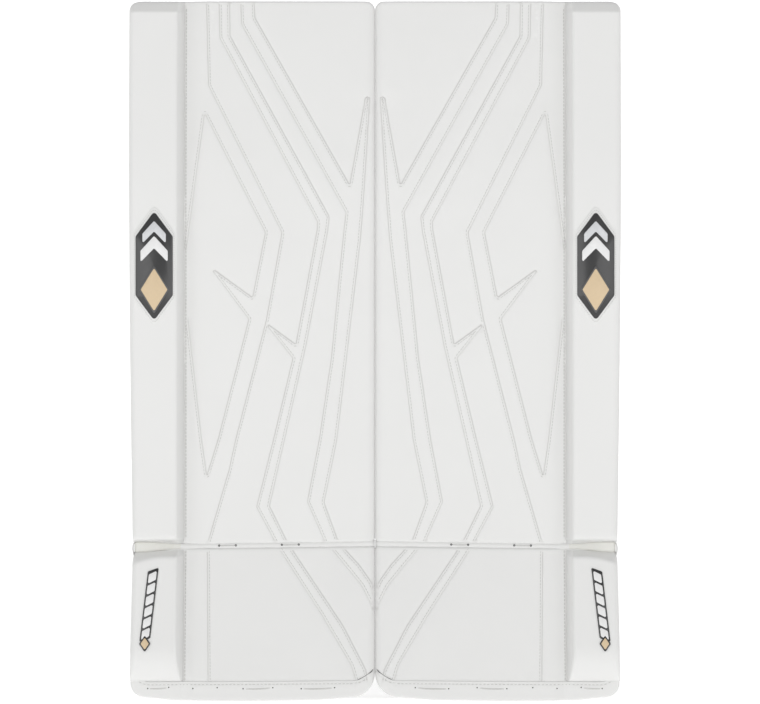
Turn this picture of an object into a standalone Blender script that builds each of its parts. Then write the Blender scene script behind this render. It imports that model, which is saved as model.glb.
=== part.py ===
"""A pair of ice-hockey goalie leg pads, standing side by side and facing -Y.

Each piece is laid out for one pad in pad coordinates: u runs outward from the pad's inner edge, v runs
back from the plane of its face, and z is the height. place() mirrors the piece for the wearer's right pad,
which stands at -X, and leans it: the boot kicks forward below the break, and the thigh rise leans back
above KNEE_Z, just over the knee stack.
"""

import math

import bmesh
import bpy
from mathutils import Vector

# Driving dimensions, in metres.
PAD_GAP = 0.002
HEIGHT = 0.796
TOP_WIDTH = 0.279
BREAK_WIDTH = 0.2745
SOLE_WIDTH = 0.2765
FACE_Y = -0.06816
KNEE_Z = 0.590
BREAK_Z = 0.1770
THIGH_LEAN = math.tan(math.radians(3.0))
BOOT_KICK = math.tan(math.radians(9.0))

CLEAR = 0.0003
COVER = 0.003
CORE_BACK = 0.042
SHEET = 0.0025
BACK = CORE_BACK + 2 * CLEAR + SHEET

# The break drops a little toward the outer edge.
SHIN_FOOT = 0.1796
SHIN_FOOT_DROP = 0.0145
BOOT_TOP = 0.1740
BOOT_TOP_DROP = 0.0116

# The rolls stand on the outer part of the face.
ROLL_SEAM = 0.216
ROLL_EDGE = 0.2235
ROLL_RISE = 0.017
BOOT_ROLL_FOOT = 0.030
BOOT_ROLL_FOOT_RISE = 0.010

WRAP = 0.009
INNER_WRAP = 0.008
STRAP = 0.0025
STRAP_WIDTH = 0.038
WRAP_HINGE = (0.2650, 0.0502)

RING_PIN = (0.0510, 0.0300)
RING_RADIUS = 0.011
RING_WIRE = 0.0015

# Where the joints turn. The boot flexes about a line given as (v, z); the wraps turn about WRAP_HINGE.
FLEX_LINE = (0.0300, BREAK_Z)
CALF_MIDDLE = 0.300
KNEE_MIDDLE = 0.500


def make_material(name, colour, roughness, metallic=0.0):
    material = bpy.data.materials.new(name)
    material.use_nodes = True
    shader = material.node_tree.nodes["Principled BSDF"]
    shader.inputs["Base Color"].default_value = (*colour, 1.0)
    shader.inputs["Roughness"].default_value = roughness
    shader.inputs["Metallic"].default_value = metallic
    return material


def lean(z):
    """How far back the pad's face is at this height, against the flat shin."""
    if z < BREAK_Z:
        return -BOOT_KICK * (BREAK_Z - z)
    return THIGH_LEAN * max(0.0, z - KNEE_Z)


def place(side, u, v, z):
    return Vector((side * (PAD_GAP / 2 + u), FACE_Y + v + lean(z), z))


def rounded(corners, steps=4):
    """An outline through corners given as (x, y, radius), each turned into an arc of its radius."""
    points = []
    for i, (x, y, radius) in enumerate(corners):
        here = Vector((x, y))
        before = (Vector(corners[i - 1][:2]) - here).normalized()
        after = (Vector(corners[(i + 1) % len(corners)][:2]) - here).normalized()
        if radius == 0:
            points.append(tuple(here))
            continue
        half = before.angle(after) / 2
        centre = here + (before + after).normalized() * radius / math.sin(half)
        start = here + before * radius / math.tan(half) - centre
        end = here + after * radius / math.tan(half) - centre
        turn = start.angle_signed(end)
        for step in range(steps + 1):
            angle = -turn * step / steps
            cosine, sine = math.cos(angle), math.sin(angle)
            points.append(
                (
                    centre.x + start.x * cosine - start.y * sine,
                    centre.y + start.x * sine + start.y * cosine,
                )
            )
    return points


def loft(front, back):
    """A closed solid between two loops with the same number of points."""
    bm = bmesh.new()
    first = [bm.verts.new(p) for p in front]
    last = [bm.verts.new(p) for p in back]
    bm.faces.new(first)
    bm.faces.new(reversed(last))
    for i in range(len(first)):
        j = (i + 1) % len(first)
        bm.faces.new((first[j], first[i], last[i], last[j]))
    bmesh.ops.recalc_face_normals(bm, faces=bm.faces)
    return bm


def slab(outline, v_front, v_back):
    """A flat piece whose (u, z) outline faces the front."""
    return loft([(u, v_front, z) for u, z in outline], [(u, v_back, z) for u, z in outline])


def side_slab(outline, u_inner, u_outer):
    """A flat piece whose (v, z) outline faces the side."""
    return loft([(u_inner, v, z) for v, z in outline], [(u_outer, v, z) for v, z in outline])


def block(low, high, edge, steps=2):
    """A box between two (u, v, z) corners, with its edges rounded off."""
    outline = [(low[0], low[2]), (high[0], low[2]), (high[0], high[2]), (low[0], high[2])]
    bm = slab(outline, low[1], high[1])
    bmesh.ops.bevel(
        bm, geom=bm.edges[:], offset=edge, segments=steps, profile=0.5, affect="EDGES"
    )
    return bm


def tray(outline, v_front, v_back, wall):
    """A casing with this (u, z) outline, closed at the front and open at the back."""
    bm = slab(outline, v_front, v_back)
    open_face = max(bm.faces, key=lambda face: face.calc_center_median().y)
    bmesh.ops.inset_region(bm, faces=[open_face], thickness=wall, use_even_offset=True)
    made = bmesh.ops.extrude_face_region(bm, geom=[open_face])["geom"]
    floor = [item for item in made if isinstance(item, bmesh.types.BMVert)]
    bmesh.ops.translate(bm, verts=floor, vec=(0, v_front + wall - v_back, 0))
    if open_face.is_valid:
        bmesh.ops.delete(bm, geom=[open_face], context="FACES_ONLY")
    bmesh.ops.recalc_face_normals(bm, faces=bm.faces)
    return bm


def normals(path):
    """The unit normal at each point of an open path in a plane, to the left of the way it runs."""
    found = []
    for i in range(len(path)):
        before = Vector(path[max(i - 1, 0)])
        after = Vector(path[min(i + 1, len(path) - 1)])
        along = (after - before).normalized()
        found.append(Vector((-along.y, along.x)))
    return found


def offset_path(path, distance):
    """The path moved sideways, to the left of the way it runs."""
    return [
        (p[0] + n.x * distance, p[1] + n.y * distance) for p, n in zip(path, normals(path))
    ]


def smooth_path(points, steps=3):
    """A Catmull-Rom curve through the points."""
    curve = []
    for i in range(len(points) - 1):
        before = Vector(points[max(i - 1, 0)])
        start = Vector(points[i])
        end = Vector(points[i + 1])
        after = Vector(points[min(i + 2, len(points) - 1)])
        for step in range(steps):
            t = step / steps
            curve.append(
                tuple(
                    0.5
                    * (
                        2 * start
                        + (end - before) * t
                        + (2 * before - 5 * start + 4 * end - after) * t**2
                        + (3 * start - before - 3 * end + after) * t**3
                    )
                )
            )
    curve.append(tuple(points[-1]))
    return curve


def stations(path, half):
    """(middle, normal, half width) along a path, with both of its ends rounded."""
    sides = normals(path)
    first, last = Vector(path[0]), Vector(path[-1])
    back = Vector((-sides[0].y, sides[0].x))
    on = Vector((sides[-1].y, -sides[-1].x))
    round_off = [math.radians(angle) for angle in (15, 50)]
    rows = [(first + back * half * math.cos(a), sides[0], half * math.sin(a)) for a in round_off]
    rows += [(Vector(p), n, half) for p, n in zip(path, sides)]
    rows += [
        (last + on * half * math.cos(a), sides[-1], half * math.sin(a))
        for a in reversed(round_off)
    ]
    return rows


def plate(path, thickness, low, high, tip=0.0, upright=True):
    """A bent plate with rounded ends. Upright, its path is (u, v) and it stands from low to high. Otherwise
    its path is (v, z), and low and high are u. Toward the end of the path, tip cuts off its two corners."""
    rows = stations(path, thickness / 2)
    lengths = [0.0]
    for (a, _, _), (b, _, _) in zip(rows, rows[1:]):
        lengths.append(lengths[-1] + (b - a).length)
    bm = bmesh.new()
    rings = []
    for (middle, normal, half), length in zip(rows, lengths):
        past = max(0.0, tip - (lengths[-1] - length)) / tip if tip else 0.0
        cut = tip * (1 - math.sqrt(max(0.0, 1 - past**2)))
        left, right = middle + normal * half, middle - normal * half
        if upright:
            corners = [(*left, low + cut), (*left, high - cut), (*right, high - cut), (*right, low + cut)]
        else:
            corners = [(low, *left), (high, *left), (high, *right), (low, *right)]
        rings.append([bm.verts.new(corner) for corner in corners])
    bm.faces.new(rings[0])
    bm.faces.new(reversed(rings[-1]))
    for ring, following in zip(rings, rings[1:]):
        for i in range(4):
            j = (i + 1) % 4
            bm.faces.new((ring[j], ring[i], following[i], following[j]))
    bmesh.ops.recalc_face_normals(bm, faces=bm.faces)
    return bm


def shin_outline(inset):
    foot_inner = SHIN_FOOT - SHIN_FOOT_DROP * inset + inset
    foot_outer = SHIN_FOOT - SHIN_FOOT_DROP * BREAK_WIDTH + inset
    return rounded(
        [
            (inset, foot_inner, 0.003),
            (BREAK_WIDTH - inset, foot_outer, 0.003),
            (TOP_WIDTH - inset, HEIGHT - inset, 0.009),
            (inset, HEIGHT - inset, 0.009),
        ],
        steps=3,
    )


def boot_outline(inset):
    top_inner = BOOT_TOP - inset
    top_outer = BOOT_TOP - BOOT_TOP_DROP * BREAK_WIDTH - inset
    return rounded(
        [
            (inset, 0.008 + inset, 0.026),
            (0.050, inset, 0.0),
            (0.225, inset, 0.0),
            (SOLE_WIDTH - inset, 0.006 + inset, 0.012),
            (BREAK_WIDTH + 0.001 - inset, top_outer, 0.003),
            (inset, top_inner, 0.003),
        ],
        steps=3,
    )


def shin_cover():
    return tray(shin_outline(0.0), 0.0, CORE_BACK, COVER)


def shin_core():
    return slab(shin_outline(COVER + CLEAR), COVER + CLEAR, CORE_BACK)


def shin_back():
    return slab(shin_outline(0.001), CORE_BACK + CLEAR, CORE_BACK + CLEAR + SHEET)


def shin_roll():
    """The outer roll: its inner flank slopes up from the seam, and its top end slopes down to the face."""
    foot, top = 0.1815, HEIGHT - 0.0005
    base = [
        (ROLL_SEAM, foot),
        (BREAK_WIDTH - 0.0005, foot + 0.002),
        (TOP_WIDTH - 0.0005, top - 0.012),
        (TOP_WIDTH - 0.009, top),
        (ROLL_SEAM, top),
    ]
    front = [
        (ROLL_EDGE, foot + 0.002),
        (BREAK_WIDTH - 0.003, foot + 0.004),
        (TOP_WIDTH - 0.003, top - 0.020),
        (TOP_WIDTH - 0.010, top - 0.0115),
        (ROLL_EDGE, top - 0.0115),
    ]
    return loft([(u, -ROLL_RISE, z) for u, z in front], [(u, -CLEAR, z) for u, z in base])


def boot_roll_front(z):
    """The v of the boot roll's front, which stands less proud toward its foot."""
    share = (z - BOOT_ROLL_FOOT) / (BOOT_TOP - BOOT_ROLL_FOOT)
    return -BOOT_ROLL_FOOT_RISE - (ROLL_RISE - BOOT_ROLL_FOOT_RISE) * share


def boot_roll():
    """The boot's roll: its top edge curves down toward the outer side, and its flank fades at the foot."""
    base = [
        (ROLL_SEAM - 0.001, 0.0225),
        (SOLE_WIDTH - 0.001, 0.0235),
        (BREAK_WIDTH + 0.0005, 0.1590),
        (0.2570, 0.1640),
        (0.2400, 0.1665),
        (ROLL_SEAM, 0.1675),
    ]
    front = [
        (ROLL_SEAM + 0.0015, BOOT_ROLL_FOOT),
        (SOLE_WIDTH - 0.003, BOOT_ROLL_FOOT + 0.001),
        (BREAK_WIDTH - 0.0015, 0.1565),
        (0.2560, 0.1610),
        (0.2400, 0.1633),
        (ROLL_EDGE - 0.001, 0.1640),
    ]
    return loft(
        [(u, boot_roll_front(z), z) for u, z in front], [(u, -CLEAR, z) for u, z in base]
    )


def roll_badge():
    """A long six-sided badge, flat on the front of the shin roll."""
    middle_u, middle_z = 0.2500, 0.4935
    half_width, half_height, shoulder = 0.0200, 0.0640, 0.0330
    outline = [
        (middle_u, middle_z - half_height),
        (middle_u + half_width, middle_z - shoulder),
        (middle_u + half_width, middle_z + shoulder),
        (middle_u, middle_z + half_height),
        (middle_u - half_width, middle_z + shoulder),
        (middle_u - half_width, middle_z - shoulder),
    ]
    return slab(outline, -ROLL_RISE - CLEAR - 0.0012, -ROLL_RISE - CLEAR)


def boot_badge():
    """A narrow slanted bar, flat on the front of the boot roll."""
    low, high, half_width, slant = 0.0600, 0.1490, 0.0062, 0.0045
    outline = [
        (0.2500 - half_width - slant, low),
        (0.2500 + half_width - slant, low + 0.004),
        (0.2500 + half_width + slant, high),
        (0.2500 - half_width + slant, high - 0.004),
    ]
    return loft(
        [(u, boot_roll_front(z) - CLEAR - 0.0012, z) for u, z in outline],
        [(u, boot_roll_front(z) - CLEAR, z) for u, z in outline],
    )


def boot_cover():
    return tray(boot_outline(0.0), 0.0, CORE_BACK, COVER)


def boot_core():
    return slab(boot_outline(COVER + CLEAR), COVER + CLEAR, CORE_BACK)


def boot_liner():
    return slab(boot_outline(0.001), CORE_BACK + CLEAR, CORE_BACK + CLEAR + SHEET)


def toe_band():
    """The binding along the foot of the boot, on its face."""
    outline = [
        (0.0080, 0.0203),
        (0.0180, 0.0125),
        (0.0500, 0.0060),
        (0.2250, 0.0060),
        (0.2620, 0.0095),
        (0.2710, 0.0200),
    ]
    return slab(outline, -CLEAR - 0.0016, -CLEAR)


def slack_lace(stretches, bulge, v_hidden, height, z_middle):
    """A flat lace that lies straight at v_hidden, and bulges forward over each (start, end) stretch of u."""
    path = [(stretches[0][0] - 0.004, v_hidden)]
    for start, end in stretches:
        for step in range(9):
            share = step / 8
            path.append((start + (end - start) * share, v_hidden - bulge * math.sin(math.pi * share)))
    path.append((stretches[-1][1] + 0.004, v_hidden))
    bm = plate(path, 0.0011, -height / 2, height / 2)
    for vert in bm.verts:
        vert.co.z += z_middle(vert.co.x)
    return bm


def toe_lace():
    stretches = [(0.0463, 0.0835), (0.1166, 0.1493), (0.1794, 0.2063), (0.2346, 0.2578)]
    return slack_lace(stretches, 0.0035, -0.0028, 0.0040, lambda u: 0.0135)


def break_lace():
    """The lace of the break: between two eyelets it shows, and elsewhere it runs inside the gap."""
    stretches = [(0.0850, 0.1055), (0.1575, 0.1770)]
    return slack_lace(stretches, 0.0035, 0.0012, 0.0026, lambda u: 0.1768 - 0.0130 * u)


def break_gusset():
    """The folded strip that closes the break between shin and boot."""
    inner, outer = 0.002, 0.272
    outline = [
        (inner, BOOT_TOP - BOOT_TOP_DROP * inner + CLEAR),
        (outer, BOOT_TOP - BOOT_TOP_DROP * outer + CLEAR),
        (outer, SHIN_FOOT - SHIN_FOOT_DROP * outer - CLEAR),
        (inner, SHIN_FOOT - SHIN_FOOT_DROP * inner - CLEAR),
    ]
    return slab(outline, 0.0025, 0.0055)


def slide_panel():
    return block((0.0020, BACK, 0.1950), (0.0280, 0.0950, 0.3980), 0.006)


def shin_cushion():
    return block((0.0320, BACK, 0.2000), (0.2480, 0.0570, 0.3950), 0.005)


def knee_stack():
    return block((0.0020, BACK, 0.4040), (0.0640, 0.1320, 0.5840), 0.008)


def knee_pad():
    return block((0.0643, BACK, 0.4080), (0.0960, 0.1290, 0.5800), 0.009)


def knee_cradle():
    return block((0.1010, BACK, 0.4200), (0.2500, 0.0600, 0.5900), 0.006)


def outer_wrap_path():
    return smooth_path(
        [
            WRAP_HINGE,
            (0.2690, 0.0800),
            (0.2690, 0.1120),
            (0.2580, 0.1420),
            (0.2300, 0.1580),
            (0.1850, 0.1620),
            (0.1320, 0.1620),
        ]
    )


def inner_wrap_path():
    return smooth_path(
        [(0.0140, 0.0996), (0.0170, 0.1200), (0.0320, 0.1390), (0.0640, 0.1465), (0.1280, 0.1480)]
    )


def outer_calf_wrap():
    return plate(outer_wrap_path(), WRAP, 0.2050, 0.3960, tip=0.035)


def inner_calf_wrap():
    return plate(inner_wrap_path(), INNER_WRAP, 0.2150, 0.3860, tip=0.030)


def calf_strap(z_middle):
    """A strap sewn on the outer wrap, which laps over the inner wrap."""
    on_wrap = offset_path(outer_wrap_path(), -WRAP / 2 - CLEAR - STRAP / 2)[6:]
    lap = [(0.1250, 0.1681), (0.1180, 0.1668), (0.1040, 0.1610), (0.0850, 0.1562), (0.0620, 0.1535), (0.0480, 0.1510)]
    return plate(
        on_wrap + lap, STRAP, z_middle - STRAP_WIDTH / 2, z_middle + STRAP_WIDTH / 2, tip=0.010
    )


def upper_calf_strap():
    return calf_strap(0.3500)


def lower_calf_strap():
    return calf_strap(0.2500)


def knee_wrap_path():
    return smooth_path(
        [WRAP_HINGE, (0.2700, 0.0800), (0.2690, 0.1080), (0.2590, 0.1330), (0.2350, 0.1450)]
    )


def knee_wrap():
    return plate(knee_wrap_path(), WRAP, 0.4220, 0.5800, tip=0.030)


def knee_strap():
    """A strap sewn on the knee wrap, which laps over the back of the knee stack."""
    on_wrap = offset_path(knee_wrap_path(), -WRAP / 2 - CLEAR - STRAP / 2)[5:]
    lap = [(0.2150, 0.1512), (0.1800, 0.1480), (0.1400, 0.1425), (0.1000, 0.1375), (0.0600, 0.1348)]
    return plate(on_wrap + lap + [(0.0300, 0.1340)], STRAP, 0.4800, 0.4800 + STRAP_WIDTH, tip=0.010)


def boot_wing(u_inner, u_outer):
    """A foam side of the boot, whose foot stands on the ground behind the sole."""
    outline = rounded(
        [
            (BACK, 0.0100, 0.0),
            (0.0700, 0.0, 0.0),
            (0.1120, 0.0, 0.006),
            (0.1120, 0.0700, 0.020),
            (0.0800, 0.1500, 0.020),
            (BACK, 0.1500, 0.0),
        ]
    )
    return side_slab(outline, u_inner, u_outer)


def outer_boot_wing():
    return boot_wing(0.2560, 0.2670)


def inner_boot_wing():
    return boot_wing(0.0200, 0.0310)


def boot_strap():
    """A strap round the back of the boot, from one wing to the other."""
    outer = [(0.2708, 0.0850), (0.2708, 0.1110), (0.2615, 0.1185), (0.2300, 0.1200)]
    inner = [(0.0570, 0.1200), (0.0255, 0.1185), (0.0162, 0.1110), (0.0162, 0.0850)]
    return plate(
        smooth_path(outer + [(0.1435, 0.1215)] + inner, 2), STRAP, 0.0500, 0.0820, tip=0.008
    )


def toe_bridge():
    """A webbing loop at the back of the toe, open along u where the ring's wire passes."""
    pin_v, pin_z = RING_PIN
    inside = 0.0038
    path = [(pin_v - inside, pin_z + 0.0220), (pin_v - inside, pin_z + 0.0080)]
    for step in range(9):
        angle = math.radians(180 + 200 * step / 8)
        path.append((pin_v + inside * math.cos(angle), pin_z + inside * math.sin(angle)))
    return plate(path, 0.0016, 0.1350, 0.1430, upright=False)


def toe_ring():
    """A steel ring that hangs in the toe bridge by its own wire."""
    pin_v, pin_z = RING_PIN
    around, across = 20, 8
    bm = bmesh.new()
    rings = []
    for i in range(around):
        turn = 2 * math.pi * i / around
        ring = []
        for j in range(across):
            angle = 2 * math.pi * j / across
            reach = RING_RADIUS + RING_WIRE * math.cos(angle)
            ring.append(
                bm.verts.new(
                    (
                        0.1390 + reach * math.sin(turn),
                        pin_v + RING_WIRE * math.sin(angle),
                        pin_z - RING_RADIUS + reach * math.cos(turn),
                    )
                )
            )
        rings.append(ring)
    for i in range(around):
        ring, following = rings[i], rings[(i + 1) % around]
        for j in range(across):
            k = (j + 1) % across
            bm.faces.new((ring[j], ring[k], following[k], following[j]))
    bmesh.ops.recalc_face_normals(bm, faces=bm.faces)
    return bm


def add_piece(name, side, bm, material, pivot):
    """Leans, mirrors and names a piece laid out in pad coordinates, with its origin at its pivot."""
    if min(vert.co.z for vert in bm.verts) < KNEE_Z < max(vert.co.z for vert in bm.verts):
        bmesh.ops.bisect_plane(
            bm, geom=bm.verts[:] + bm.edges[:] + bm.faces[:], plane_co=(0, 0, KNEE_Z), plane_no=(0, 0, 1)
        )
    for vert in bm.verts:
        vert.co = place(side, *vert.co) - pivot
    if side < 0:
        bmesh.ops.reverse_faces(bm, faces=bm.faces[:])
    mesh = bpy.data.meshes.new(name)
    bm.to_mesh(mesh)
    bm.free()
    mesh.materials.append(material)
    piece = bpy.data.objects.new(name, mesh)
    piece.location = pivot
    bpy.context.scene.collection.objects.link(piece)


def add_pad(prefix, side, materials):
    """One pad. Each group of pieces turns about its own joint, so its pieces share that pivot."""
    boot_pivot = Vector((side * (PAD_GAP / 2 + TOP_WIDTH / 2), FACE_Y, 0))
    flex_pivot = Vector((side * (PAD_GAP / 2 + TOP_WIDTH / 2), FACE_Y + FLEX_LINE[0], FLEX_LINE[1]))
    calf_pivot = place(side, *WRAP_HINGE, CALF_MIDDLE)
    knee_pivot = place(side, *WRAP_HINGE, KNEE_MIDDLE)
    ring_pivot = place(side, 0.139, *RING_PIN)
    groups = [
        (
            boot_pivot,
            [
                (boot_core, "foam"),
                (boot_cover, "white_leather"),
                (boot_roll, "white_leather"),
                (boot_badge, "badge"),
                (boot_liner, "nylon"),
                (toe_band, "white_leather"),
                (toe_lace, "lace"),
                (break_gusset, "fold"),
                (break_lace, "lace"),
                (inner_boot_wing, "white_leather"),
                (outer_boot_wing, "white_leather"),
                (boot_strap, "webbing"),
                (toe_bridge, "webbing"),
            ],
        ),
        (
            flex_pivot,
            [
                (shin_core, "foam"),
                (shin_cover, "white_leather"),
                (shin_roll, "white_leather"),
                (roll_badge, "badge"),
                (shin_back, "nylon"),
                (slide_panel, "white_leather"),
                (knee_stack, "white_leather"),
                (knee_pad, "liner"),
                (knee_cradle, "liner"),
                (shin_cushion, "liner"),
                (inner_calf_wrap, "white_leather"),
            ],
        ),
        (
            calf_pivot,
            [
                (outer_calf_wrap, "white_leather"),
                (upper_calf_strap, "webbing"),
                (lower_calf_strap, "webbing"),
            ],
        ),
        (knee_pivot, [(knee_wrap, "white_leather"), (knee_strap, "webbing")]),
        (ring_pivot, [(toe_ring, "steel")]),
    ]
    for pivot, pieces in groups:
        for make, material in pieces:
            add_piece(f"{prefix}_{make.__name__}", side, make(), materials[material], pivot)


def main():
    for item in list(bpy.data.objects):
        bpy.data.objects.remove(item, do_unlink=True)
    materials = {
        "white_leather": make_material("white_leather", (0.82, 0.82, 0.81), 0.42),
        "nylon": make_material("white_nylon", (0.74, 0.74, 0.73), 0.80),
        "liner": make_material("charcoal_liner", (0.055, 0.058, 0.062), 0.90),
        "foam": make_material("foam", (0.62, 0.60, 0.52), 0.95),
        "webbing": make_material("black_webbing", (0.018, 0.018, 0.020), 0.75),
        "lace": make_material("white_lace", (0.80, 0.80, 0.78), 0.70),
        "fold": make_material("break_fold", (0.76, 0.74, 0.66), 0.60),
        "badge": make_material("badge", (0.58, 0.46, 0.30), 0.45),
        "steel": make_material("ring_steel", (0.62, 0.62, 0.63), 0.25, 1.0),
    }
    add_pad("right", -1, materials)
    add_pad("left", 1, materials)


main()
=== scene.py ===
"""The looks of a pair of white goalie leg pads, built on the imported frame.

Every piece is made once in pad coordinates and then placed twice, mirrored. In pad coordinates u runs
outward from the pad's inner edge, v runs back from the plane of its face, and z is the height, in metres.
"""

import math

import bmesh
import bpy
import numpy as np
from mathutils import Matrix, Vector, geometry, noise
from mathutils.bvhtree import BVHTree


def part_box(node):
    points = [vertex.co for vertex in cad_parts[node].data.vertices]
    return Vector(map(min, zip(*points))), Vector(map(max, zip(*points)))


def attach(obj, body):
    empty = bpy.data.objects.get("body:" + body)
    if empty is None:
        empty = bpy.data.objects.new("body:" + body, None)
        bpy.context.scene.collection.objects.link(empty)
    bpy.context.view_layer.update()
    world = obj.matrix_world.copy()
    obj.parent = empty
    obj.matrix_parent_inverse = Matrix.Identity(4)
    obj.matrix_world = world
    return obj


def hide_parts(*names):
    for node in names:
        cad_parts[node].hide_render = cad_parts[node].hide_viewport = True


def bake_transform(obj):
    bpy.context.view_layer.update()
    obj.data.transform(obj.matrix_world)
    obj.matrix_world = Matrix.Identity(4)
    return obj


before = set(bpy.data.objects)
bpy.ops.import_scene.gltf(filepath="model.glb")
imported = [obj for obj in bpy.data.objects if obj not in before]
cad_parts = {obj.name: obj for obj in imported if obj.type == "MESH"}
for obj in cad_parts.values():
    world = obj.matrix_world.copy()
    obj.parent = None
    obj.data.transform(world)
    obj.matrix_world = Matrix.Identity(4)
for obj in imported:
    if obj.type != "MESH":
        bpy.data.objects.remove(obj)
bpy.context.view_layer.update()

# Read from the frame: the left pad's casings.
COVER_LOW, COVER_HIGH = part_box("left_shin_cover")
_, BOOT_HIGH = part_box("left_boot_cover")
INNER_X = COVER_LOW.x
FACE_Y = COVER_LOW.y
TOP = COVER_HIGH.z
TOP_WIDTH = COVER_HIGH.x - INNER_X
SOLE_WIDTH = BOOT_HIGH.x - INNER_X

MM = 0.001

# The pad's bends: where they are, how soft the knee is, and how steeply the parts lean.
KNEE_Z = 0.590
KNEE_SOFTNESS = 0.040
BREAK_Z = 0.177
THIGH_LEAN = math.tan(math.radians(3.0))
BOOT_KICK = math.tan(math.radians(9.0))

# Depths behind the face: the back of the core, and the back of the sheet over it.
CORE_BACK = 0.042
BACK = 0.0451

# The roll: the seam it is sewn down by, its front inner edge, and how far it stands forward.
ROLL_SEAM = 0.216
ROLL_EDGE = 0.2235
ROLL_RISE = 0.017

# The break: the pad's width there, both edges' heights at u = 0, and how they drop outward.
BREAK_WIDTH = TOP_WIDTH - 0.0045
SHIN_FOOT = 0.1796
SHIN_FOOT_DROP = 0.0145
BOOT_TOP = 0.1740
BOOT_TOP_DROP = 0.0116
TOE_LINE = 0.0205


# ---------------------------------------------------------------- placing pieces

def lean(z):
    """How far back the face is at this height; the bend at the knee is eased over KNEE_SOFTNESS."""
    if z < BREAK_Z:
        return -BOOT_KICK * (BREAK_Z - z)
    past = z - KNEE_Z
    if abs(past) < KNEE_SOFTNESS:
        return THIGH_LEAN * (past + KNEE_SOFTNESS) ** 2 / (4 * KNEE_SOFTNESS)
    return THIGH_LEAN * max(0.0, past)


def place(side, u, v, z):
    """Pad coordinates to the world: side is -1 for the right pad and 1 for the left one."""
    return (side * (INNER_X + u), FACE_Y + v + lean(z), z)


class Shape:
    """Points in pad coordinates, the faces between them, and each face's material number."""

    def __init__(self):
        self.points = []
        self.faces = []
        self.paints = []

    def add(self, points, faces, paint=0):
        """Adds points, and faces that number them from 0."""
        start = len(self.points)
        self.points += [tuple(p) for p in points]
        self.faces += [tuple(start + i for i in face) for face in faces]
        self.paints += [paint] * len(faces)
        return self

    def join(self, other, paint=None):
        """Adds another shape, in its own materials or all in one."""
        start = len(self.points)
        self.points += other.points
        self.faces += [tuple(start + i for i in face) for face in other.faces]
        self.paints += other.paints if paint is None else [paint] * len(other.faces)
        return self


def build_object(name, shape, side, materials, crease_shades):
    """A mesh object of the shape on one pad. The last argument, one number a point, is the painted shade
    that the leather gets there.
    """
    mesh = bpy.data.meshes.new(name)
    points = [place(side, *p) for p in shape.points]
    faces = [face[::-1] for face in shape.faces] if side < 0 else shape.faces
    mesh.from_pydata(points, [], faces)
    for material in materials:
        mesh.materials.append(material)
    mesh.polygons.foreach_set("material_index", shape.paints)
    # The painted shade of the folds, stored on the mesh for the leather to read.
    if crease_shades is not None:
        mesh.attributes.new("crease_shade", "FLOAT", "POINT").data.foreach_set("value", crease_shades)
    mesh.shade_smooth()
    obj = bpy.data.objects.new(name, mesh)
    bpy.context.scene.collection.objects.link(obj)
    return obj


def add_pair(
    name, shape, body, materials, nodes=(), crease_shades=None, sharp=None, across=None
):
    """Places the piece on both pads. across, (other body, start, end) with start and end in pad
    coordinates, is given for fabric that crosses a joint; such a piece is left in place without a body,
    and the three parts are not used."""
    for prefix, side in (("right", -1), ("left", 1)):
        obj = build_object(f"{prefix}_{name}", shape, side, materials, crease_shades)
        if sharp is not None:
            obj.data.set_sharp_from_angle(angle=math.radians(sharp))
        if across:
            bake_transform(obj)
        else:
            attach(obj, f"{prefix}_{body}")
        if nodes:
            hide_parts(*[f"{prefix}_{node}" for node in nodes])


# ---------------------------------------------------------------- paths and outlines

def rounded(corners, steps=6, closed=True):
    """A path through corners given as (x, y, radius), each turned into an arc of its radius."""
    points = []
    count = len(corners)
    for i, (x, y, radius) in enumerate(corners):
        if radius == 0 or (not closed and i in (0, count - 1)):
            points.append((x, y))
            continue
        here = Vector((x, y))
        before = (Vector(corners[i - 1][:2]) - here).normalized()
        after = (Vector(corners[(i + 1) % count][:2]) - here).normalized()
        half = before.angle(after) / 2
        centre = here + (before + after).normalized() * radius / math.sin(half)
        start = here + before * radius / math.tan(half) - centre
        end = here + after * radius / math.tan(half) - centre
        turn = -start.angle_signed(end)
        for step in range(steps + 1):
            cosine, sine = math.cos(turn * step / steps), math.sin(turn * step / steps)
            points.append(
                (
                    centre.x + start.x * cosine - start.y * sine,
                    centre.y + start.x * sine + start.y * cosine,
                )
            )
    return points


def resample(path, spacing, closed=False):
    """Evenly spaced points along a path of any dimension, with its ends kept."""
    points = np.array(list(path) + ([path[0]] if closed else []), float)
    lengths = path_lengths(points)
    count = max(2, int(round(lengths[-1] / spacing)) + 1)
    at = np.linspace(0, lengths[-1], count)
    even = np.stack([np.interp(at, lengths, points[:, k]) for k in range(points.shape[1])], axis=1)
    return even[:-1] if closed else even


def smooth_path(points, steps=8):
    """A Catmull-Rom curve through the points."""
    points = [Vector(p) for p in points]
    curve = []
    for i in range(len(points) - 1):
        before, start = points[max(i - 1, 0)], points[i]
        end, after = points[i + 1], points[min(i + 2, len(points) - 1)]
        for step in range(steps):
            t = step / steps
            curve.append(
                0.5
                * (
                    2 * start
                    + (end - before) * t
                    + (2 * before - 5 * start + 4 * end - after) * t**2
                    + (3 * start - before - 3 * end + after) * t**3
                )
            )
    curve.append(points[-1])
    return [tuple(p) for p in curve]


def tangents(path, closed=False):
    """The unit direction of a path at each of its points."""
    path = np.asarray(path, float)
    if closed:
        along = np.roll(path, -1, axis=0) - np.roll(path, 1, axis=0)
    else:
        along = np.gradient(path, axis=0)
    return along / np.maximum(np.linalg.norm(along, axis=1, keepdims=True), 1e-9)


def left_normals(path, closed=False):
    """The unit normal to the left of a flat path at each of its points."""
    along = tangents(path, closed)
    return np.stack([-along[:, 1], along[:, 0]], axis=1)


# ---------------------------------------------------------------- simple solids

def circle(count):
    """The angles of this many even points on a circle."""
    return [2 * math.pi * k / count for k in range(count)]


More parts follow.
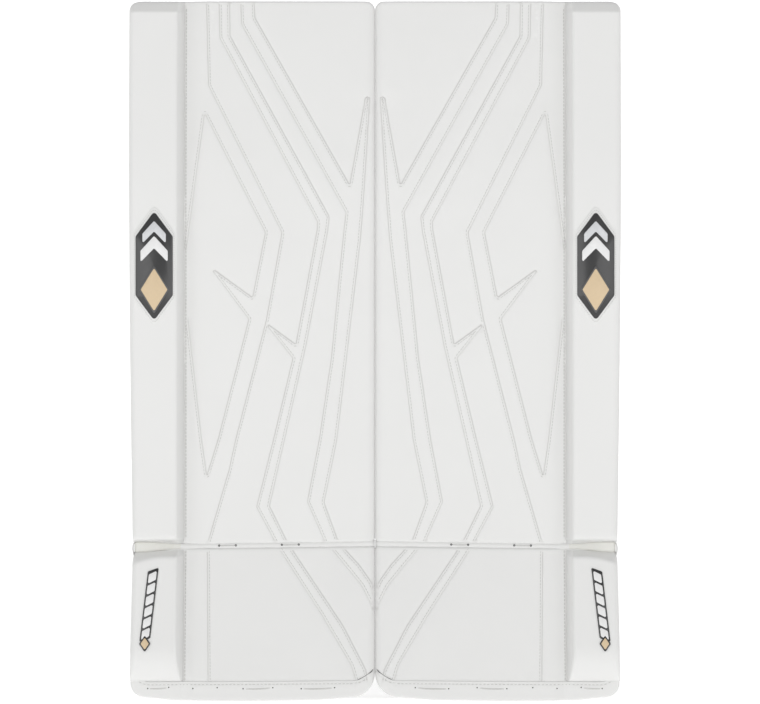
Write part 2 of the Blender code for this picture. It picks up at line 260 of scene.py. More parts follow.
def loft(rings, caps=True, paint=0):
    """A skin over closed rings of points that all have the same count."""
    count = len(rings[0])
    points = [tuple(p) for ring in rings for p in ring]
    faces = []
    for i in range(len(rings) - 1):
        for j in range(count):
            k = (j + 1) % count
            faces.append((i * count + j, i * count + k, (i + 1) * count + k, (i + 1) * count + j))
    if caps:
        faces.append(tuple(reversed(range(count))))
        faces.append(tuple((len(rings) - 1) * count + j for j in range(count)))
    return Shape().add(points, faces, paint)


def outward(shape):
    """Turns the faces of a closed shape to look outward."""
    bm = bmesh.new()
    verts = [bm.verts.new(p) for p in shape.points]
    for face, paint in zip(shape.faces, shape.paints):
        made = bm.faces.new([verts[i] for i in face])
        made.material_index = paint
    bm.verts.index_update()
    bmesh.ops.recalc_face_normals(bm, faces=bm.faces)
    bm.faces.index_update()
    shape.faces = [tuple(v.index for v in face.verts) for face in bm.faces]
    shape.paints = [face.material_index for face in bm.faces]
    bm.free()
    return shape


def tube(path, radius, sides, closed=False, flat=1.0, up=(0, 1, 0)):
    """A cord along a 3-D path. flat squeezes it along up, which is carried along without twisting."""
    path = np.asarray(path, float)
    along = tangents(path, closed)
    lift = np.array(up, float)
    rings = []
    for point, direction in zip(path, along):
        side = np.cross(direction, lift)
        if np.linalg.norm(side) < 1e-6:
            side = np.cross(direction, (0.6, 0.5, 0.3))
        side /= np.linalg.norm(side)
        lift = np.cross(side, direction)
        rings.append(
            [point + radius * (side * math.cos(a) + lift * flat * math.sin(a)) for a in circle(sides)]
        )
    if closed:
        rings.append(rings[0])
        shape = loft(rings, caps=False)
        count = (len(rings) - 1) * sides
        shape.faces = [tuple(i % count for i in face) for face in shape.faces]
        shape.points = shape.points[:count]
        return outward(shape)
    first = path[0] - along[0] * radius * 0.5
    last = path[-1] + along[-1] * radius * 0.5
    small = 0.55
    rings.insert(0, [first + (p - path[0]) * small for p in rings[0]])
    rings.append([last + (p - path[-1]) * small for p in rings[-1]])
    return outward(loft(rings))


def extrude_outline(outline, v_front, v_back, edge, paint=0, steps=3):
    """A flat piece with this (u, z) outline and rounded edges."""
    outline = np.array(outline, float)
    following = np.roll(outline, -1, axis=0)
    area = np.sum(outline[:, 0] * following[:, 1] - following[:, 0] * outline[:, 1])
    outs = -np.sign(area) * left_normals(outline, closed=True)
    rings = []
    for v_end, way in ((v_front, 1), (v_back, -1)):
        for k in range(steps + 1):
            angle = math.pi / 2 * (k if way > 0 else steps - k) / steps
            inset = edge * (1 - math.sin(angle))
            v = v_end + way * edge * (1 - math.cos(angle))
            rings.append([(u, v, z) for u, z in outline - outs * inset])
    return outward(loft(rings, paint=paint))


def capsule_row(points, directions, length, radius, outs=None):
    """Small flattened rods centred on points, such as the stitches of a seam. outs says which way each
    faces; without it they face forward."""
    shape = Shape()
    sides = 6
    flatness = 0.7
    profile = [(-0.5, 0.35), (-0.36, 0.9), (0.0, 1.0), (0.36, 0.9), (0.5, 0.35)]
    if outs is None:
        outs = [(0.0, -1.0, 0.0)] * len(points)
    faces = []
    for i in range(len(profile) - 1):
        for j in range(sides):
            k = (j + 1) % sides
            faces.append((i * sides + j, (i + 1) * sides + j, (i + 1) * sides + k, i * sides + k))
    faces.append(tuple(range(sides)))
    faces.append(tuple((len(profile) - 1) * sides + j for j in reversed(range(sides))))
    for centre, along, out in zip(points, directions, outs):
        along = np.array(along, float)
        lift = np.array(out, float)
        lift = lift - along * np.dot(lift, along)
        lift /= max(np.linalg.norm(lift), 1e-6)
        across = np.cross(along, lift)
        rod = []
        for share, size in profile:
            middle = np.asarray(centre) + along * share * length
            for angle in circle(sides):
                aside = across * math.cos(angle) + lift * flatness * math.sin(angle)
                rod.append(middle + size * radius * aside)
        shape.add(rod, faces)
    return outward(shape)


def upright(a, b, at):
    """A path seen from above, as wide as the band is high."""
    return (a, b, at)


def sideways(a, b, at):
    """A path on the face, as wide as the band is deep."""
    return (a, at, b)


def crosswise(a, b, at):
    """A path seen from the side, as wide as the band is broad."""
    return (at, a, b)


def tip_cut(past_end, tip):
    """How much a rounded tip has cut off each edge, this far before the end of the path."""
    if not tip or past_end >= tip:
        return 0.0
    return tip * (1 - math.sqrt(max(0.0, 1 - (1 - past_end / tip) ** 2)))


def path_lengths(path):
    """How far along a path each of its points lies."""
    steps = np.linalg.norm(np.diff(np.asarray(path, float), axis=0), axis=1)
    return np.concatenate([[0], np.cumsum(steps)])


def band(path, thickness, low, high, turn=upright, tip=0.0, steps=6, paints=(0, 0, 0)):
    """A strap along a path in the plane that turn gives, from low to high across it. paints are the
    material numbers of the side left of the path, the side right of it, and the edges."""
    path = np.asarray(path, float)
    normals = left_normals(path)
    lengths = path_lengths(path)
    half = thickness / 2
    rings = []
    for point, normal, length in zip(path, normals, lengths):
        cut = tip_cut(lengths[-1] - length, tip)
        ring = []
        for side, order in ((1, range(steps + 1)), (-1, range(steps, -1, -1))):
            for k in order:
                share = k / steps
                at = low + cut + (high - low - 2 * cut) * share
                thin = half * (1 - 0.35 * abs(2 * share - 1) ** 6)
                a, b = point + normal * side * thin
                ring.append(turn(a, b, at))
        rings.append(ring)
    shape = loft(rings)
    around = 2 * steps + 2
    left, right, edge = paints
    one_ring = [left] * steps + [edge] + [right] * steps + [edge]
    shape.paints = [one_ring[i % around] for i in range(around * (len(rings) - 1))] + [edge, edge]
    return outward(shape)


# ---------------------------------------------------------------- materials

class Nodes:
    """Short ways to build a material's node tree."""

    def __init__(self, name):
        self.material = bpy.data.materials.new(name)
        self.material.use_nodes = True
        self.tree = self.material.node_tree
        self.shader = self.tree.nodes["Principled BSDF"]
        coordinates = self.tree.nodes.new("ShaderNodeTexCoord")
        self.place = coordinates.outputs["Object"]

    def node(self, kind, links=(), **values):
        """A new node with its values set and its sockets linked."""
        made = self.tree.nodes.new(kind)
        for key, value in values.items():
            if key in made.inputs.keys():
                made.inputs[key].default_value = value
            elif hasattr(made, key):
                setattr(made, key, value)
        for socket, source in dict(links).items():
            self.tree.links.new(source, made.inputs[socket])
        return made

    def noise(self, scale, detail=3.0, roughness=0.5):
        """Cloudy noise, about this many spots to a metre."""
        settings = {"Scale": scale, "Detail": detail, "Roughness": roughness}
        return self.node("ShaderNodeTexNoise", {"Vector": self.place}, **settings).outputs["Fac"]

    def cells(self, scale):
        """Pebbled cells, about this many to a metre."""
        made = self.node("ShaderNodeTexVoronoi", {"Vector": self.place}, Scale=scale)
        return made.outputs["Distance"]

    def ramp(self, source, low, high):
        """A number moved into the range low to high."""
        made = self.node("ShaderNodeMapRange", {"Value": source})
        made.inputs["To Min"].default_value = low
        made.inputs["To Max"].default_value = high
        return made.outputs["Result"]

    def feed(self, socket, value):
        """Links a socket to another one, or sets its number or colour."""
        if isinstance(value, (int, float)):
            socket.default_value = value
        elif isinstance(value, tuple):
            socket.default_value = (*value, 1.0)
        else:
            self.tree.links.new(value, socket)

    def math(self, operation, a, b):
        """Two numbers, each a constant or a socket, put together."""
        made = self.node("ShaderNodeMath", operation=operation)
        self.feed(made.inputs[0], a)
        self.feed(made.inputs[1], b)
        return made.outputs[0]

    def mix(self, factor, a, b):
        """A colour between a and b."""
        made = self.node("ShaderNodeMix", data_type="RGBA")
        for index, value in ((0, factor), (6, a), (7, b)):
            self.feed(made.inputs[index], value)
        return made.outputs[2]

    def attribute(self, name):
        """A number stored on the mesh."""
        return self.node("ShaderNodeAttribute", attribute_name=name).outputs["Fac"]

    def set(self, **sockets):
        """Sets or links the shader's sockets, with underscores for the spaces in their names."""
        for name, value in sockets.items():
            self.feed(self.shader.inputs[name.replace("_", " ")], value)

    def bump(self, height, distance, strength):
        """Raises the surface a little where the height is large."""
        made = self.node("ShaderNodeBump", {"Height": height}, Strength=strength, Distance=distance)
        self.tree.links.new(made.outputs["Normal"], self.shader.inputs["Normal"])

    def weave(self, pitch):
        """Threads over and under each other, upright and across."""
        waves = []
        for axis in ("X", "Z"):
            settings = {"Scale": 0.5 / pitch / math.pi, "bands_direction": axis}
            wave = self.node("ShaderNodeTexWave", {"Vector": self.place}, **settings)
            waves.append(wave.outputs["Fac"])
        return self.math("MULTIPLY", waves[0], waves[1])


def white_leather():
    """Smooth satin synthetic leather: fine pebbled grain, faint clouding, and painted shade in the folds
    of its seams and along the roll's seam.
    """
    n = Nodes("white_leather")
    white = (0.800, 0.800, 0.790)
    cloud = n.ramp(n.noise(9.0, 4.0), 0.0, 1.0)
    clean = n.mix(cloud, tuple(c * 0.985 for c in white), tuple(c * 1.012 for c in white))
    # Painted shade: the leather turns grey by the number stored on the mesh for the folds and the roll's
    # seam.
    shaded_in_folds = n.mix(n.math("MULTIPLY", n.attribute("crease_shade"), 0.50), clean, (0.50, 0.495, 0.475))
    scuffs = n.math("GREATER_THAN", n.noise(42.0, 8.0, 0.72), 0.74)
    worn = n.mix(n.math("MULTIPLY", scuffs, 0.05), shaded_in_folds, (0.60, 0.59, 0.57))
    grain = n.math("ADD", n.math("MULTIPLY", n.cells(900.0), 0.7), n.noise(2600.0, 2.0))
    pits = n.math("MULTIPLY", n.cells(900.0), 0.05)
    rough = n.math("ADD", n.ramp(n.noise(30.0, 5.0), 0.38, 0.48), pits)
    n.set(Base_Color=worn, Roughness=rough, Specular_IOR_Level=0.42)
    n.set(Coat_Weight=0.06, Coat_Roughness=0.30)
    n.bump(grain, 0.00006, 0.55)
    return n.material


def thread_material(name, colour):
    """Twisted thread, or flat lace."""
    n = Nodes(name)
    fibre = n.noise(2200.0, 2.0)
    n.set(Base_Color=n.mix(fibre, tuple(c * 0.85 for c in colour), colour), Roughness=0.75)
    n.bump(fibre, 0.0001, 0.4)
    return n.material


def woven_material(name, colour, pitch, rough, dark=0.72):
    """Plain woven cloth or webbing. dark is how much darker the gaps between its threads are."""
    n = Nodes(name)
    threads = n.weave(pitch)
    fade = n.ramp(n.noise(14.0, 4.0), 0.92, 1.0)
    tint = n.mix(threads, tuple(c * dark for c in colour), colour)
    faded = n.mix(fade, tuple(min(1.0, c * 0.9 + 0.02) for c in colour), tint)
    n.set(Base_Color=faded, Roughness=rough, Sheen_Weight=0.15, Sheen_Roughness=0.5)
    n.bump(threads, 0.00025, 0.7)
    return n.material


def liner_material():
    """Brushed knit cloth with a soft nap."""
    n = Nodes("charcoal_liner")
    nap = n.noise(1100.0, 5.0, 0.65)
    knit = n.weave(0.0011)
    colour = n.mix(nap, (0.040, 0.042, 0.046), (0.075, 0.078, 0.084))
    n.set(Base_Color=colour, Roughness=0.92, Sheen_Weight=0.35, Sheen_Roughness=0.4)
    n.bump(n.math("ADD", n.math("MULTIPLY", knit, 0.6), nap), 0.00030, 0.6)
    return n.material


def foam_material():
    """Cream foam with fine pores."""
    n = Nodes("foam")
    pores = n.cells(700.0)
    n.set(Base_Color=n.mix(pores, (0.50, 0.48, 0.41), (0.66, 0.64, 0.56)), Roughness=0.95)
    n.bump(pores, 0.0003, 0.6)
    return n.material


def fold_shade_material():
    """The part of the break's strip under the roll: darker and yellower than the leather, in clouds, as
    painted shade in that recess.
    """
    n = Nodes("break_fold")
    # Painted shade: both tones are darker and yellower than the leather.
    fold_shade_mottle = n.ramp(n.noise(60.0, 4.0), 0.0, 1.0)
    colour = n.mix(fold_shade_mottle, (0.77, 0.766, 0.715), (0.80, 0.797, 0.765))
    n.set(Base_Color=colour, Roughness=0.5, Specular_IOR_Level=0.4)
    n.bump(n.cells(900.0), 0.00006, 0.4)
    return n.material


def plastic_material(name, colour, rough, coat=0.0):
    """Moulded plastic, or the smooth patches of a badge."""
    n = Nodes(name)
    speck = n.noise(500.0, 3.0)
    n.set(
        Base_Color=n.mix(speck, tuple(c * 0.92 for c in colour), colour),
        Roughness=n.ramp(n.noise(120.0, 4.0), rough - 0.04, rough + 0.05),
        Coat_Weight=coat,
        Coat_Roughness=0.15,
    )
    n.bump(speck, 0.00004, 0.3)
    return n.material


def steel_material():
    """Polished steel with faint wear."""
    n = Nodes("ring_steel")
    wear = n.noise(300.0, 4.0)
    n.set(Base_Color=(0.64, 0.64, 0.65), Metallic=1.0, Roughness=n.ramp(wear, 0.16, 0.30))
    n.bump(wear, 0.00003, 0.3)
    return n.material


LEATHER = white_leather()
THREAD = thread_material("grey_thread", (0.62, 0.62, 0.60))
NYLON = woven_material("white_nylon", (0.76, 0.76, 0.75), 0.0009, 0.70)
WEBBING = woven_material("black_webbing", (0.028, 0.028, 0.031), 0.0016, 0.68, dark=0.45)
BINDING = woven_material("white_binding", (0.74, 0.74, 0.73), 0.0012, 0.72)
LACE = woven_material("white_lace", (0.80, 0.80, 0.78), 0.0008, 0.75)
LINER = liner_material()
FOAM = foam_material()
FOLD_SHADE = fold_shade_material()
BLACK = plastic_material("badge_black", (0.012, 0.012, 0.013), 0.34, coat=0.4)
GREY = plastic_material("badge_grey", (0.095, 0.095, 0.098), 0.40)
SILVER = plastic_material("badge_silver", (0.66, 0.67, 0.69), 0.36, coat=0.3)
BADGE_WHITE = plastic_material("badge_white", (0.84, 0.84, 0.84), 0.40)
TAN = plastic_material("badge_tan", (0.72, 0.56, 0.36), 0.42)
# Black plastic for the buckles and eyelets; also the painted shade in the lace holes and under the toe's
# turned corner.
BUCKLE_AND_SHADE = plastic_material("buckle_plastic_and_shade", (0.020, 0.020, 0.022), 0.42)
STEEL = steel_material()


# ---------------------------------------------------------------- the stitched face

# The panel lines of the face, from the top edge down. Each has a side to which its upper, folded panel
# lies: 1 is left of the line's direction and -1 is right of it. Corners are (u, z, radius).
SHARP = 0.0012
SHIN_LINES = [
    (1, [(0.1374, 0.802, 0), (0.1365, 0.7775, SHARP), (0.0277, 0.5850, 0.0008), (0.0096, 0.6868, 0.0018),
         (0.0050, 0.6868, 0.0018), (0.0124, 0.5691, 0.05), (0.0159, 0.5236, 0.05), (0.0428, 0.2954, 0.05),
         (0.0574, 0.2241, SHARP), (0.0392, 0.1740, 0)]),
    (-1, [(0.1523, 0.802, 0), (0.1513, 0.7705, SHARP), (0.0317, 0.5551, SHARP), (0.0342, 0.5349, 0.02),
          (0.0485, 0.3886, 0.05), (0.0624, 0.2954, 0.05), (0.0758, 0.2251, SHARP), (0.0535, 0.1740, 0)]),
    (1, [(0.1655, 0.802, 0), (0.1648, 0.7567, SHARP), (0.0514, 0.5501, SHARP), (0.0530, 0.5349, 0.02),
         (0.0781, 0.4025, 0.05), (0.1025, 0.2954, 0.05), (0.1196, 0.2201, SHARP), (0.0968, 0.1740, 0)]),
    (-1, [(0.1770, 0.802, 0), (0.1760, 0.7547, SHARP), (0.0640, 0.5441, SHARP), (0.0647, 0.5349, 0.02),
          (0.0890, 0.4038, 0.0008), (0.1248, 0.4299, 0.0009), (0.0922, 0.3890, SHARP),
          (0.1146, 0.2954, 0.05), (0.1337, 0.2191, SHARP), (0.1095, 0.1740, 0)]),
    (-1, [(0.1915, 0.802, 0), (0.1889, 0.7004, 0.002), (0.1048, 0.5323, SHARP), (0.1058, 0.5260, 0.02),
          (0.1226, 0.4321, 0.05), (0.1577, 0.2954, 0.05), (0.1651, 0.2613, 0.003), (0.1906, 0.1740, 0)]),
    (-1, [(0.2145, 0.5150, 0), (0.1936, 0.6695, 0.0006), (0.1236, 0.5323, SHARP), (0.1383, 0.4572, SHARP),
          (0.1866, 0.4923, 0.0009), (0.1424, 0.4335, SHARP), (0.1778, 0.2954, 0.05),
          (0.1909, 0.2530, 0.0006), (0.1969, 0.2954, 0.05), (0.2125, 0.4300, 0)]),
]
BOOT_LINES = [
    (1, [(0.0412, 0.1790, 0), (0.0170, 0.1528, 0.04), (0.0036, 0.1338, 0.03), (-0.005, 0.1090, 0)]),
    (-1, [(0.0545, 0.1790, 0), (0.0322, 0.1528, 0.06), (0.0136, 0.1300, 0.04), (0.0022, 0.1072, 0.03),
          (-0.005, 0.0800, 0)]),
    (1, [(0.0995, 0.1790, 0), (0.0354, 0.0846, 0.10), (0.0092, 0.0344, 0.02), (0.0085, 0.0240, 0)]),
    (-1, [(0.1125, 0.1790, 0), (0.0594, 0.0976, 0.10), (0.0253, 0.0405, 0.05), (0.0200, 0.0220, 0)]),
    (-1, [(0.1900, 0.1790, 0), (0.1878, 0.0215, 0)]),
]
TOE_LINE_PATH = [
    (-0.002, 0.0345, 0), (0.0180, 0.0222, 0.020), (0.2600, TOE_LINE, 0.02), (0.2790, 0.0320, 0),
]

# How far the leather rises across a panel line, from the lower panel to the upper one, as
# (distance past the line, rise), in millimetres.
FOLD_PROFILE = [
    (-9, 0), (-4, -0.12), (-1.8, -0.34), (-0.45, -0.55), (0.40, 0.30), (0.95, 0.50), (1.5, 0.40),
    (2.1, 0.16), (2.8, 0.36), (4.2, 0.45), (12, 0.0),
]
FOLD_ROWS = [-4.2, -2.2, -1.1, -0.45, 0.40, 0.95, 1.5, 2.1, 2.8, 4.2, 7.0]
STITCH_LINE = 2.1 * MM

# The valley along the roll's seam, the stuffing's height, the inner edge's rounding, and how far the
# pads' leather presses past the gap between their casings.
VALLEY_DEPTH = 2.4 * MM
VALLEY_WIDTH = 9.0 * MM
PUFF = 2.6 * MM
INNER_ROUND = 7.0 * MM
TOUCH = 0.8 * MM


def segments_of(lines):
    """All straight pieces of some lines, as rows of (start, end, upper side)."""
    rows = []
    for upper, corners in lines:
        path = rounded(corners, steps=5, closed=False)
        rows += [(*a, *b, upper) for a, b in zip(path, path[1:])]
    return np.array(rows, float)


def distance_past(points, rows):
    """The distance of each point past its nearest line, positive toward that line's upper panel."""
    points = np.asarray(points, float)
    found = np.empty(len(points))
    start, along = rows[:, 0:2], rows[:, 2:4] - rows[:, 0:2]
    length = np.maximum(np.linalg.norm(along, axis=1), 1e-9)
    for low in range(0, len(points), 4000):
        some = points[low : low + 4000, None, :] - start
        share = np.clip((some * along).sum(2) / length**2, 0, 1)
        gap = np.linalg.norm(some - share[..., None] * along, axis=2)
        aside = (along[:, 0] * some[..., 1] - along[:, 1] * some[..., 0]) / length
        best = np.argmin(gap - 0.001 * np.abs(aside), axis=1)
        pick = np.arange(len(best))
        found[low : low + 4000] = gap[pick, best] * np.sign(aside[pick, best]) * rows[best, 4]
    return found


def inside(points, loop):
    """Which points lie inside a closed loop."""
    points, loop = np.asarray(points, float), np.asarray(loop, float)
    following = np.roll(loop, -1, axis=0)
    x, y = points[:, 0:1], points[:, 1:2]
    crosses = (loop[:, 1] > y) != (following[:, 1] > y)
    rise = np.where(following[:, 1] == loop[:, 1], 1e-12, following[:, 1] - loop[:, 1])
    at = loop[:, 0] + (y - loop[:, 1]) / rise * (following[:, 0] - loop[:, 0])
    return (crosses & (x < at)).sum(1) % 2 == 1


def clearance(points, loop):
    """The distance of each point from a closed loop."""
    loop = np.asarray(loop, float)
    rows = np.concatenate([loop, np.roll(loop, -1, axis=0), np.ones((len(loop), 1))], axis=1)
    return np.abs(distance_past(points, rows))


def softness(u, z, scale):
    """A gentle unevenness of stuffed leather, between -1 and 1."""
    return noise.noise(Vector((u * scale, z * scale, 3.7))) + 0.4 * noise.noise(
        Vector((u * scale * 2.7, z * scale * 2.7, 9.1))
    )


def ease(x):
    """A smooth step from 0 to 1."""
    x = np.clip(x, 0, 1)
    return x * x * (3 - 2 * x)


def puff(u):
    """How far the stuffing pushes the face forward, between the roll's seam and the inner edge."""
    return PUFF * ease((ROLL_SEAM - u) / 0.032) * ease((u + 0.006) / 0.034)


def inner_drop(u):
    """How far the face has rounded back near the inner edge, where the two pads press together."""
    short = np.clip(INNER_ROUND - (u + TOUCH), 0, INNER_ROUND - 0.5 * MM)
    return INNER_ROUND - np.sqrt(INNER_ROUND**2 - short**2)


def face_rise(points, lines):
    """(how far the leather stands forward, how much painted shade it gets) at points (u, z) of a face."""
    points = np.asarray(points, float)
    past = distance_past(points, segments_of(lines)) / MM
    table = np.array(FOLD_PROFILE, float)
    rise = np.interp(past, table[:, 0], table[:, 1]) * MM
    valley = VALLEY_DEPTH * np.exp(-(((points[:, 0] - ROLL_SEAM) / VALLEY_WIDTH) ** 2))
    waves = np.array([softness(u, z, 14.0) for u, z in points]) * 0.55 * MM
    # Painted shade: darkest in the fold just past each panel line, fainter on its stitch row, and in a
    # line along the roll's seam above the toe line.
    crease_shade = np.exp(-(((past + 0.30) / 0.62) ** 2)) + 0.30 * np.exp(-(((past - 2.1) / 0.45) ** 2))
    seam = np.exp(-(((points[:, 0] - ROLL_SEAM) / 0.0011) ** 2))
    crease_shade += 0.85 * seam * (points[:, 1] > TOE_LINE + 1.0 * MM)
    rise += waves - valley + puff(points[:, 0]) - inner_drop(points[:, 0])
    return rise, np.clip(crease_shade, 0, 1)


def face_v(u, z, lines):
    """Where the leather of a face stands at this point."""
    rise, _ = face_rise([(u, z)], lines)
    return -float(rise[0])


def triangulate(loop, chains, loose):
    """Triangles in a closed loop that keep the chains as edges: (points, triangles, loop's numbers)."""
    coords = [Vector(p) / MM for p in loop]
    edges = []
    for chain in chains:
        start = len(coords)
        coords += [Vector(p) / MM for p in chain]
        edges += [(start + i, start + i + 1) for i in range(len(chain) - 1)]
    coords += [Vector(p) / MM for p in loose]
    outer = [list(range(len(loop)))]
    found, _, faces, origins, _, _ = geometry.delaunay_2d_cdt(coords, edges, outer, 1, 0.02)
    number = {}
    for index, sources in enumerate(origins):
        for source in sources:
            number[source] = index
    points = np.array([tuple(p) for p in found]) * MM
    return points, [tuple(face) for face in faces], [number[i] for i in range(len(loop))]


def sparse(points, spacing):
    """Leaves out points that come nearer than about spacing to an earlier one."""
    kept, taken = [], set()
    for p in points:
        cell = (round(p[0] / spacing), round(p[1] / spacing))
        if cell not in taken:
            taken.add(cell)
            kept.append(p)
    return np.array(kept)


# The rings of a rim, each as (how far it has turned, how far it has run back, how far it tucks in).
RIM_STEPS = [(turn, 0.0, 0.0) for turn in (0.2, 0.4, 0.6, 0.8, 1.0)]
RIM_STEPS += [(1.0, 0.4, 0.0), (1.0, 0.8, 0.0), (1.0, 0.98, 0.6 * MM), (1.0, 1.0, 2.5 * MM)]


def chains_along(lines, loop):
    """The parts of the lines that lie inside the loop, and rows of points beside them."""
    chains, rows = [], []
    for _, corners in lines:
        path = resample(rounded(corners, steps=5, closed=False), 3.0 * MM)
        keep = inside(path, loop) & (clearance(path, loop) > 0.6 * MM)
        run = []
        for point, kept in zip(path, keep):
            if kept:
                run.append(point)
            elif len(run) > 1:
                chains.append(run)
                run = []
        if len(run) > 1:
            chains.append(run)
        normals = left_normals(path)
        rows += [path + normals * offset * MM * side for offset in FOLD_ROWS for side in (1, -1)]
    return chains, np.concatenate(rows)


def face_skin(outline, lines, edge, depth, grid):
    """A leather casing: its face is folded along the lines, and its rim rounds off and runs back to
    depth. It comes with the painted shade of each point."""
    outline = resample(outline, 3.5 * MM, closed=True)
    inward = left_normals(outline, closed=True)
    loop = outline + inward * edge
    chains, rows = chains_along(lines, loop)
    low, high = loop.min(0), loop.max(0)
    us, zs = np.meshgrid(np.arange(low[0], high[0], grid), np.arange(low[1], high[1], grid))
    background = np.stack([us.ravel(), zs.ravel()], axis=1)
    segments = segments_of(lines)
    background = background[np.abs(distance_past(background, segments)) > 4.0 * MM]
    rows = rows[np.abs(distance_past(rows, segments)) > 0.30 * MM]
    beside_seam = [ROLL_SEAM + side * 1.5 * MM * k for k in range(5) for side in (1, -1)]
    wall = np.array([(u, z) for z in zs[:, 0] for u in beside_seam])
    loose = sparse(np.concatenate([rows, wall, background]), 0.55 * MM)
    loose = loose[inside(loose, loop)]
    loose = loose[clearance(loose, loop) > 1.0 * MM]
    points, triangles, rim = triangulate(loop, chains, loose)
    rise, crease_shade = face_rise(points, lines)
    skin = Shape().add([(u, -r, z) for (u, z), r in zip(points, rise)], triangles)
    crease_shades = list(crease_shade)
    count = len(rim)
    previous = rim
    # The rim starts at the slope that the face has reached there.
    slope = np.arcsin(1 - edge / INNER_ROUND) * np.clip(inward[:, 0], 0, 1)
    radius = edge / (1 - np.sin(slope))
    for turn, share, tuck in RIM_STEPS:
        ring = []
        for i in range(count):
            angle = slope[i] + (math.pi / 2 - slope[i]) * turn
            outset = radius[i] * (math.sin(angle) - math.sin(slope[i])) - tuck
            near = radius[i] * (math.cos(slope[i]) - math.cos(angle)) - rise[rim[i]]
            v = near + (depth - near) * share if share else near
            u, z = loop[i] - inward[i] * outset
            ring.append(len(skin.points))
            skin.points.append((u, v, z))
            # The painted shade fades out as the rim turns back.
            crease_shades.append(crease_shade[rim[i]] * (1 - turn))
        for i in range(count):
            j = (i + 1) % count
            skin.faces.append((previous[j], previous[i], ring[i], ring[j]))
            skin.paints.append(0)
        previous = ring
    skin.faces.append(tuple(reversed(previous)))
    skin.paints.append(0)
    return skin, crease_shades


def stitches_along(lines, all_lines, loop, pitch, length, radius):
    """Stitches beside each line on its upper panel, where no other line crosses them."""
    made = Shape()
    every = segments_of(all_lines)
    for upper, corners in lines:
        path = resample(rounded(corners, steps=5, closed=False), pitch)
        row = path + left_normals(path) * upper * STITCH_LINE
        past = distance_past(row, every)
        fits = inside(row, loop) & (np.abs(past - STITCH_LINE) < 0.5 * MM)
        row, way = row[fits], tangents(path)[fits]
        if len(row) == 0:
            continue
        rise, _ = face_rise(row, all_lines)
        centres = [(u, -r - radius * 0.35, z) for (u, z), r in zip(row, rise)]
        made.join(capsule_row(centres, [(a[0], 0, a[1]) for a in way], length, radius))
    return made


# How far the face's leather stands above the frame's top.
FACE_LIFT = 0.8 * MM


def shin_outline():
    """The outline of the shin's face, as (u, z) points."""
    foot_outer = SHIN_FOOT - SHIN_FOOT_DROP * BREAK_WIDTH
    return rounded(
        [
            (-TOUCH, SHIN_FOOT, 0.003),
            (BREAK_WIDTH - 0.0012, foot_outer, 0.003),
            (TOP_WIDTH - 0.0012, TOP + FACE_LIFT, 0.010),
            (-TOUCH, TOP + FACE_LIFT, 0.009),
        ],
        steps=5,
    )


def boot_outline():
    """The outline of the boot's face, with its slightly curved sole."""
    top_outer = BOOT_TOP - BOOT_TOP_DROP * BREAK_WIDTH
    return rounded(
        [
            (-TOUCH, 0.0062, 0.026),
            (0.0640, 0.0014, 0.100),
            (0.1500, 0.0, 0.200),
            (0.2250, 0.0006, 0.100),
            (SOLE_WIDTH, 0.0062, 0.015),
            (BREAK_WIDTH - 0.0005, top_outer, 0.004),
            (-TOUCH, BOOT_TOP, 0.003),
        ],
        steps=8,
    )


def add_face(body, outline, lines, grid):
    """The leather casing of one body, in place of its plain cover."""
    skin, crease_shades = face_skin(outline, lines, 2.6 * MM, CORE_BACK - 0.3 * MM, grid)
    nodes = [body + "_cover"]
    add_pair(body + "_face", skin, body, [LEATHER], nodes, crease_shades=crease_shades)


def add_faces():
    """The casings of the shin and the boot, and the stitches on their seams."""
    boot_lines = BOOT_LINES + [(-1, TOE_LINE_PATH)]
    add_face("shin", shin_outline(), SHIN_LINES, 6.0 * MM)
    add_face("boot", boot_outline(), boot_lines, 5.0 * MM)
    shin_loop = [(0.004, 0.182), (0.2760, 0.178), (0.2760, 0.7925), (0.004, 0.7925)]
    made = stitches_along(SHIN_LINES, SHIN_LINES, shin_loop, 3.7 * MM, 2.7 * MM, 0.34 * MM)
    made.join(roll_seam_stitches(0.1860, 0.7880, SHIN_LINES))
    add_pair("shin_stitching", made, "shin", [THREAD])
    boot_loop = [(0.004, 0.022), (0.2730, 0.022), (0.2730, 0.1700), (0.004, 0.1720)]
    made = stitches_along(BOOT_LINES, boot_lines, boot_loop, 3.7 * MM, 2.7 * MM, 0.34 * MM)
    made.join(roll_seam_stitches(0.0250, 0.1680, boot_lines))
    toe_loop = [(0.012, 0.0), (0.2660, 0.0), (0.2660, 0.030), (0.012, 0.030)]
    toe_line = [(-1, TOE_LINE_PATH)]
    made.join(stitches_along(toe_line, boot_lines, toe_loop, 4.4 * MM, 2.8 * MM, 0.36 * MM))
    add_pair("boot_stitching", made, "boot", [THREAD])


def roll_seam_stitches(low, high, lines):
    """The heavier stitches of the seam that the roll is sewn down by."""
    zs = np.arange(low, high, 4.2 * MM)
    row = np.array([(ROLL_SEAM - 1.3 * MM, z) for z in zs])
    rise, _ = face_rise(row, lines)
    centres = [(u, -r - 0.15 * MM, z) for (u, z), r in zip(row, rise)]
    return capsule_row(centres, [(0, 0, 1)] * len(row), 3.1 * MM, 0.45 * MM)


# ---------------------------------------------------------------- the rolls

# The roll's crown, how deep the foot of its flank starts, and how far back its outer side runs.
CROWN = 0.9 * MM
FLANK_FOOT_V = 2.6 * MM
ROLL_BACK = 0.0405


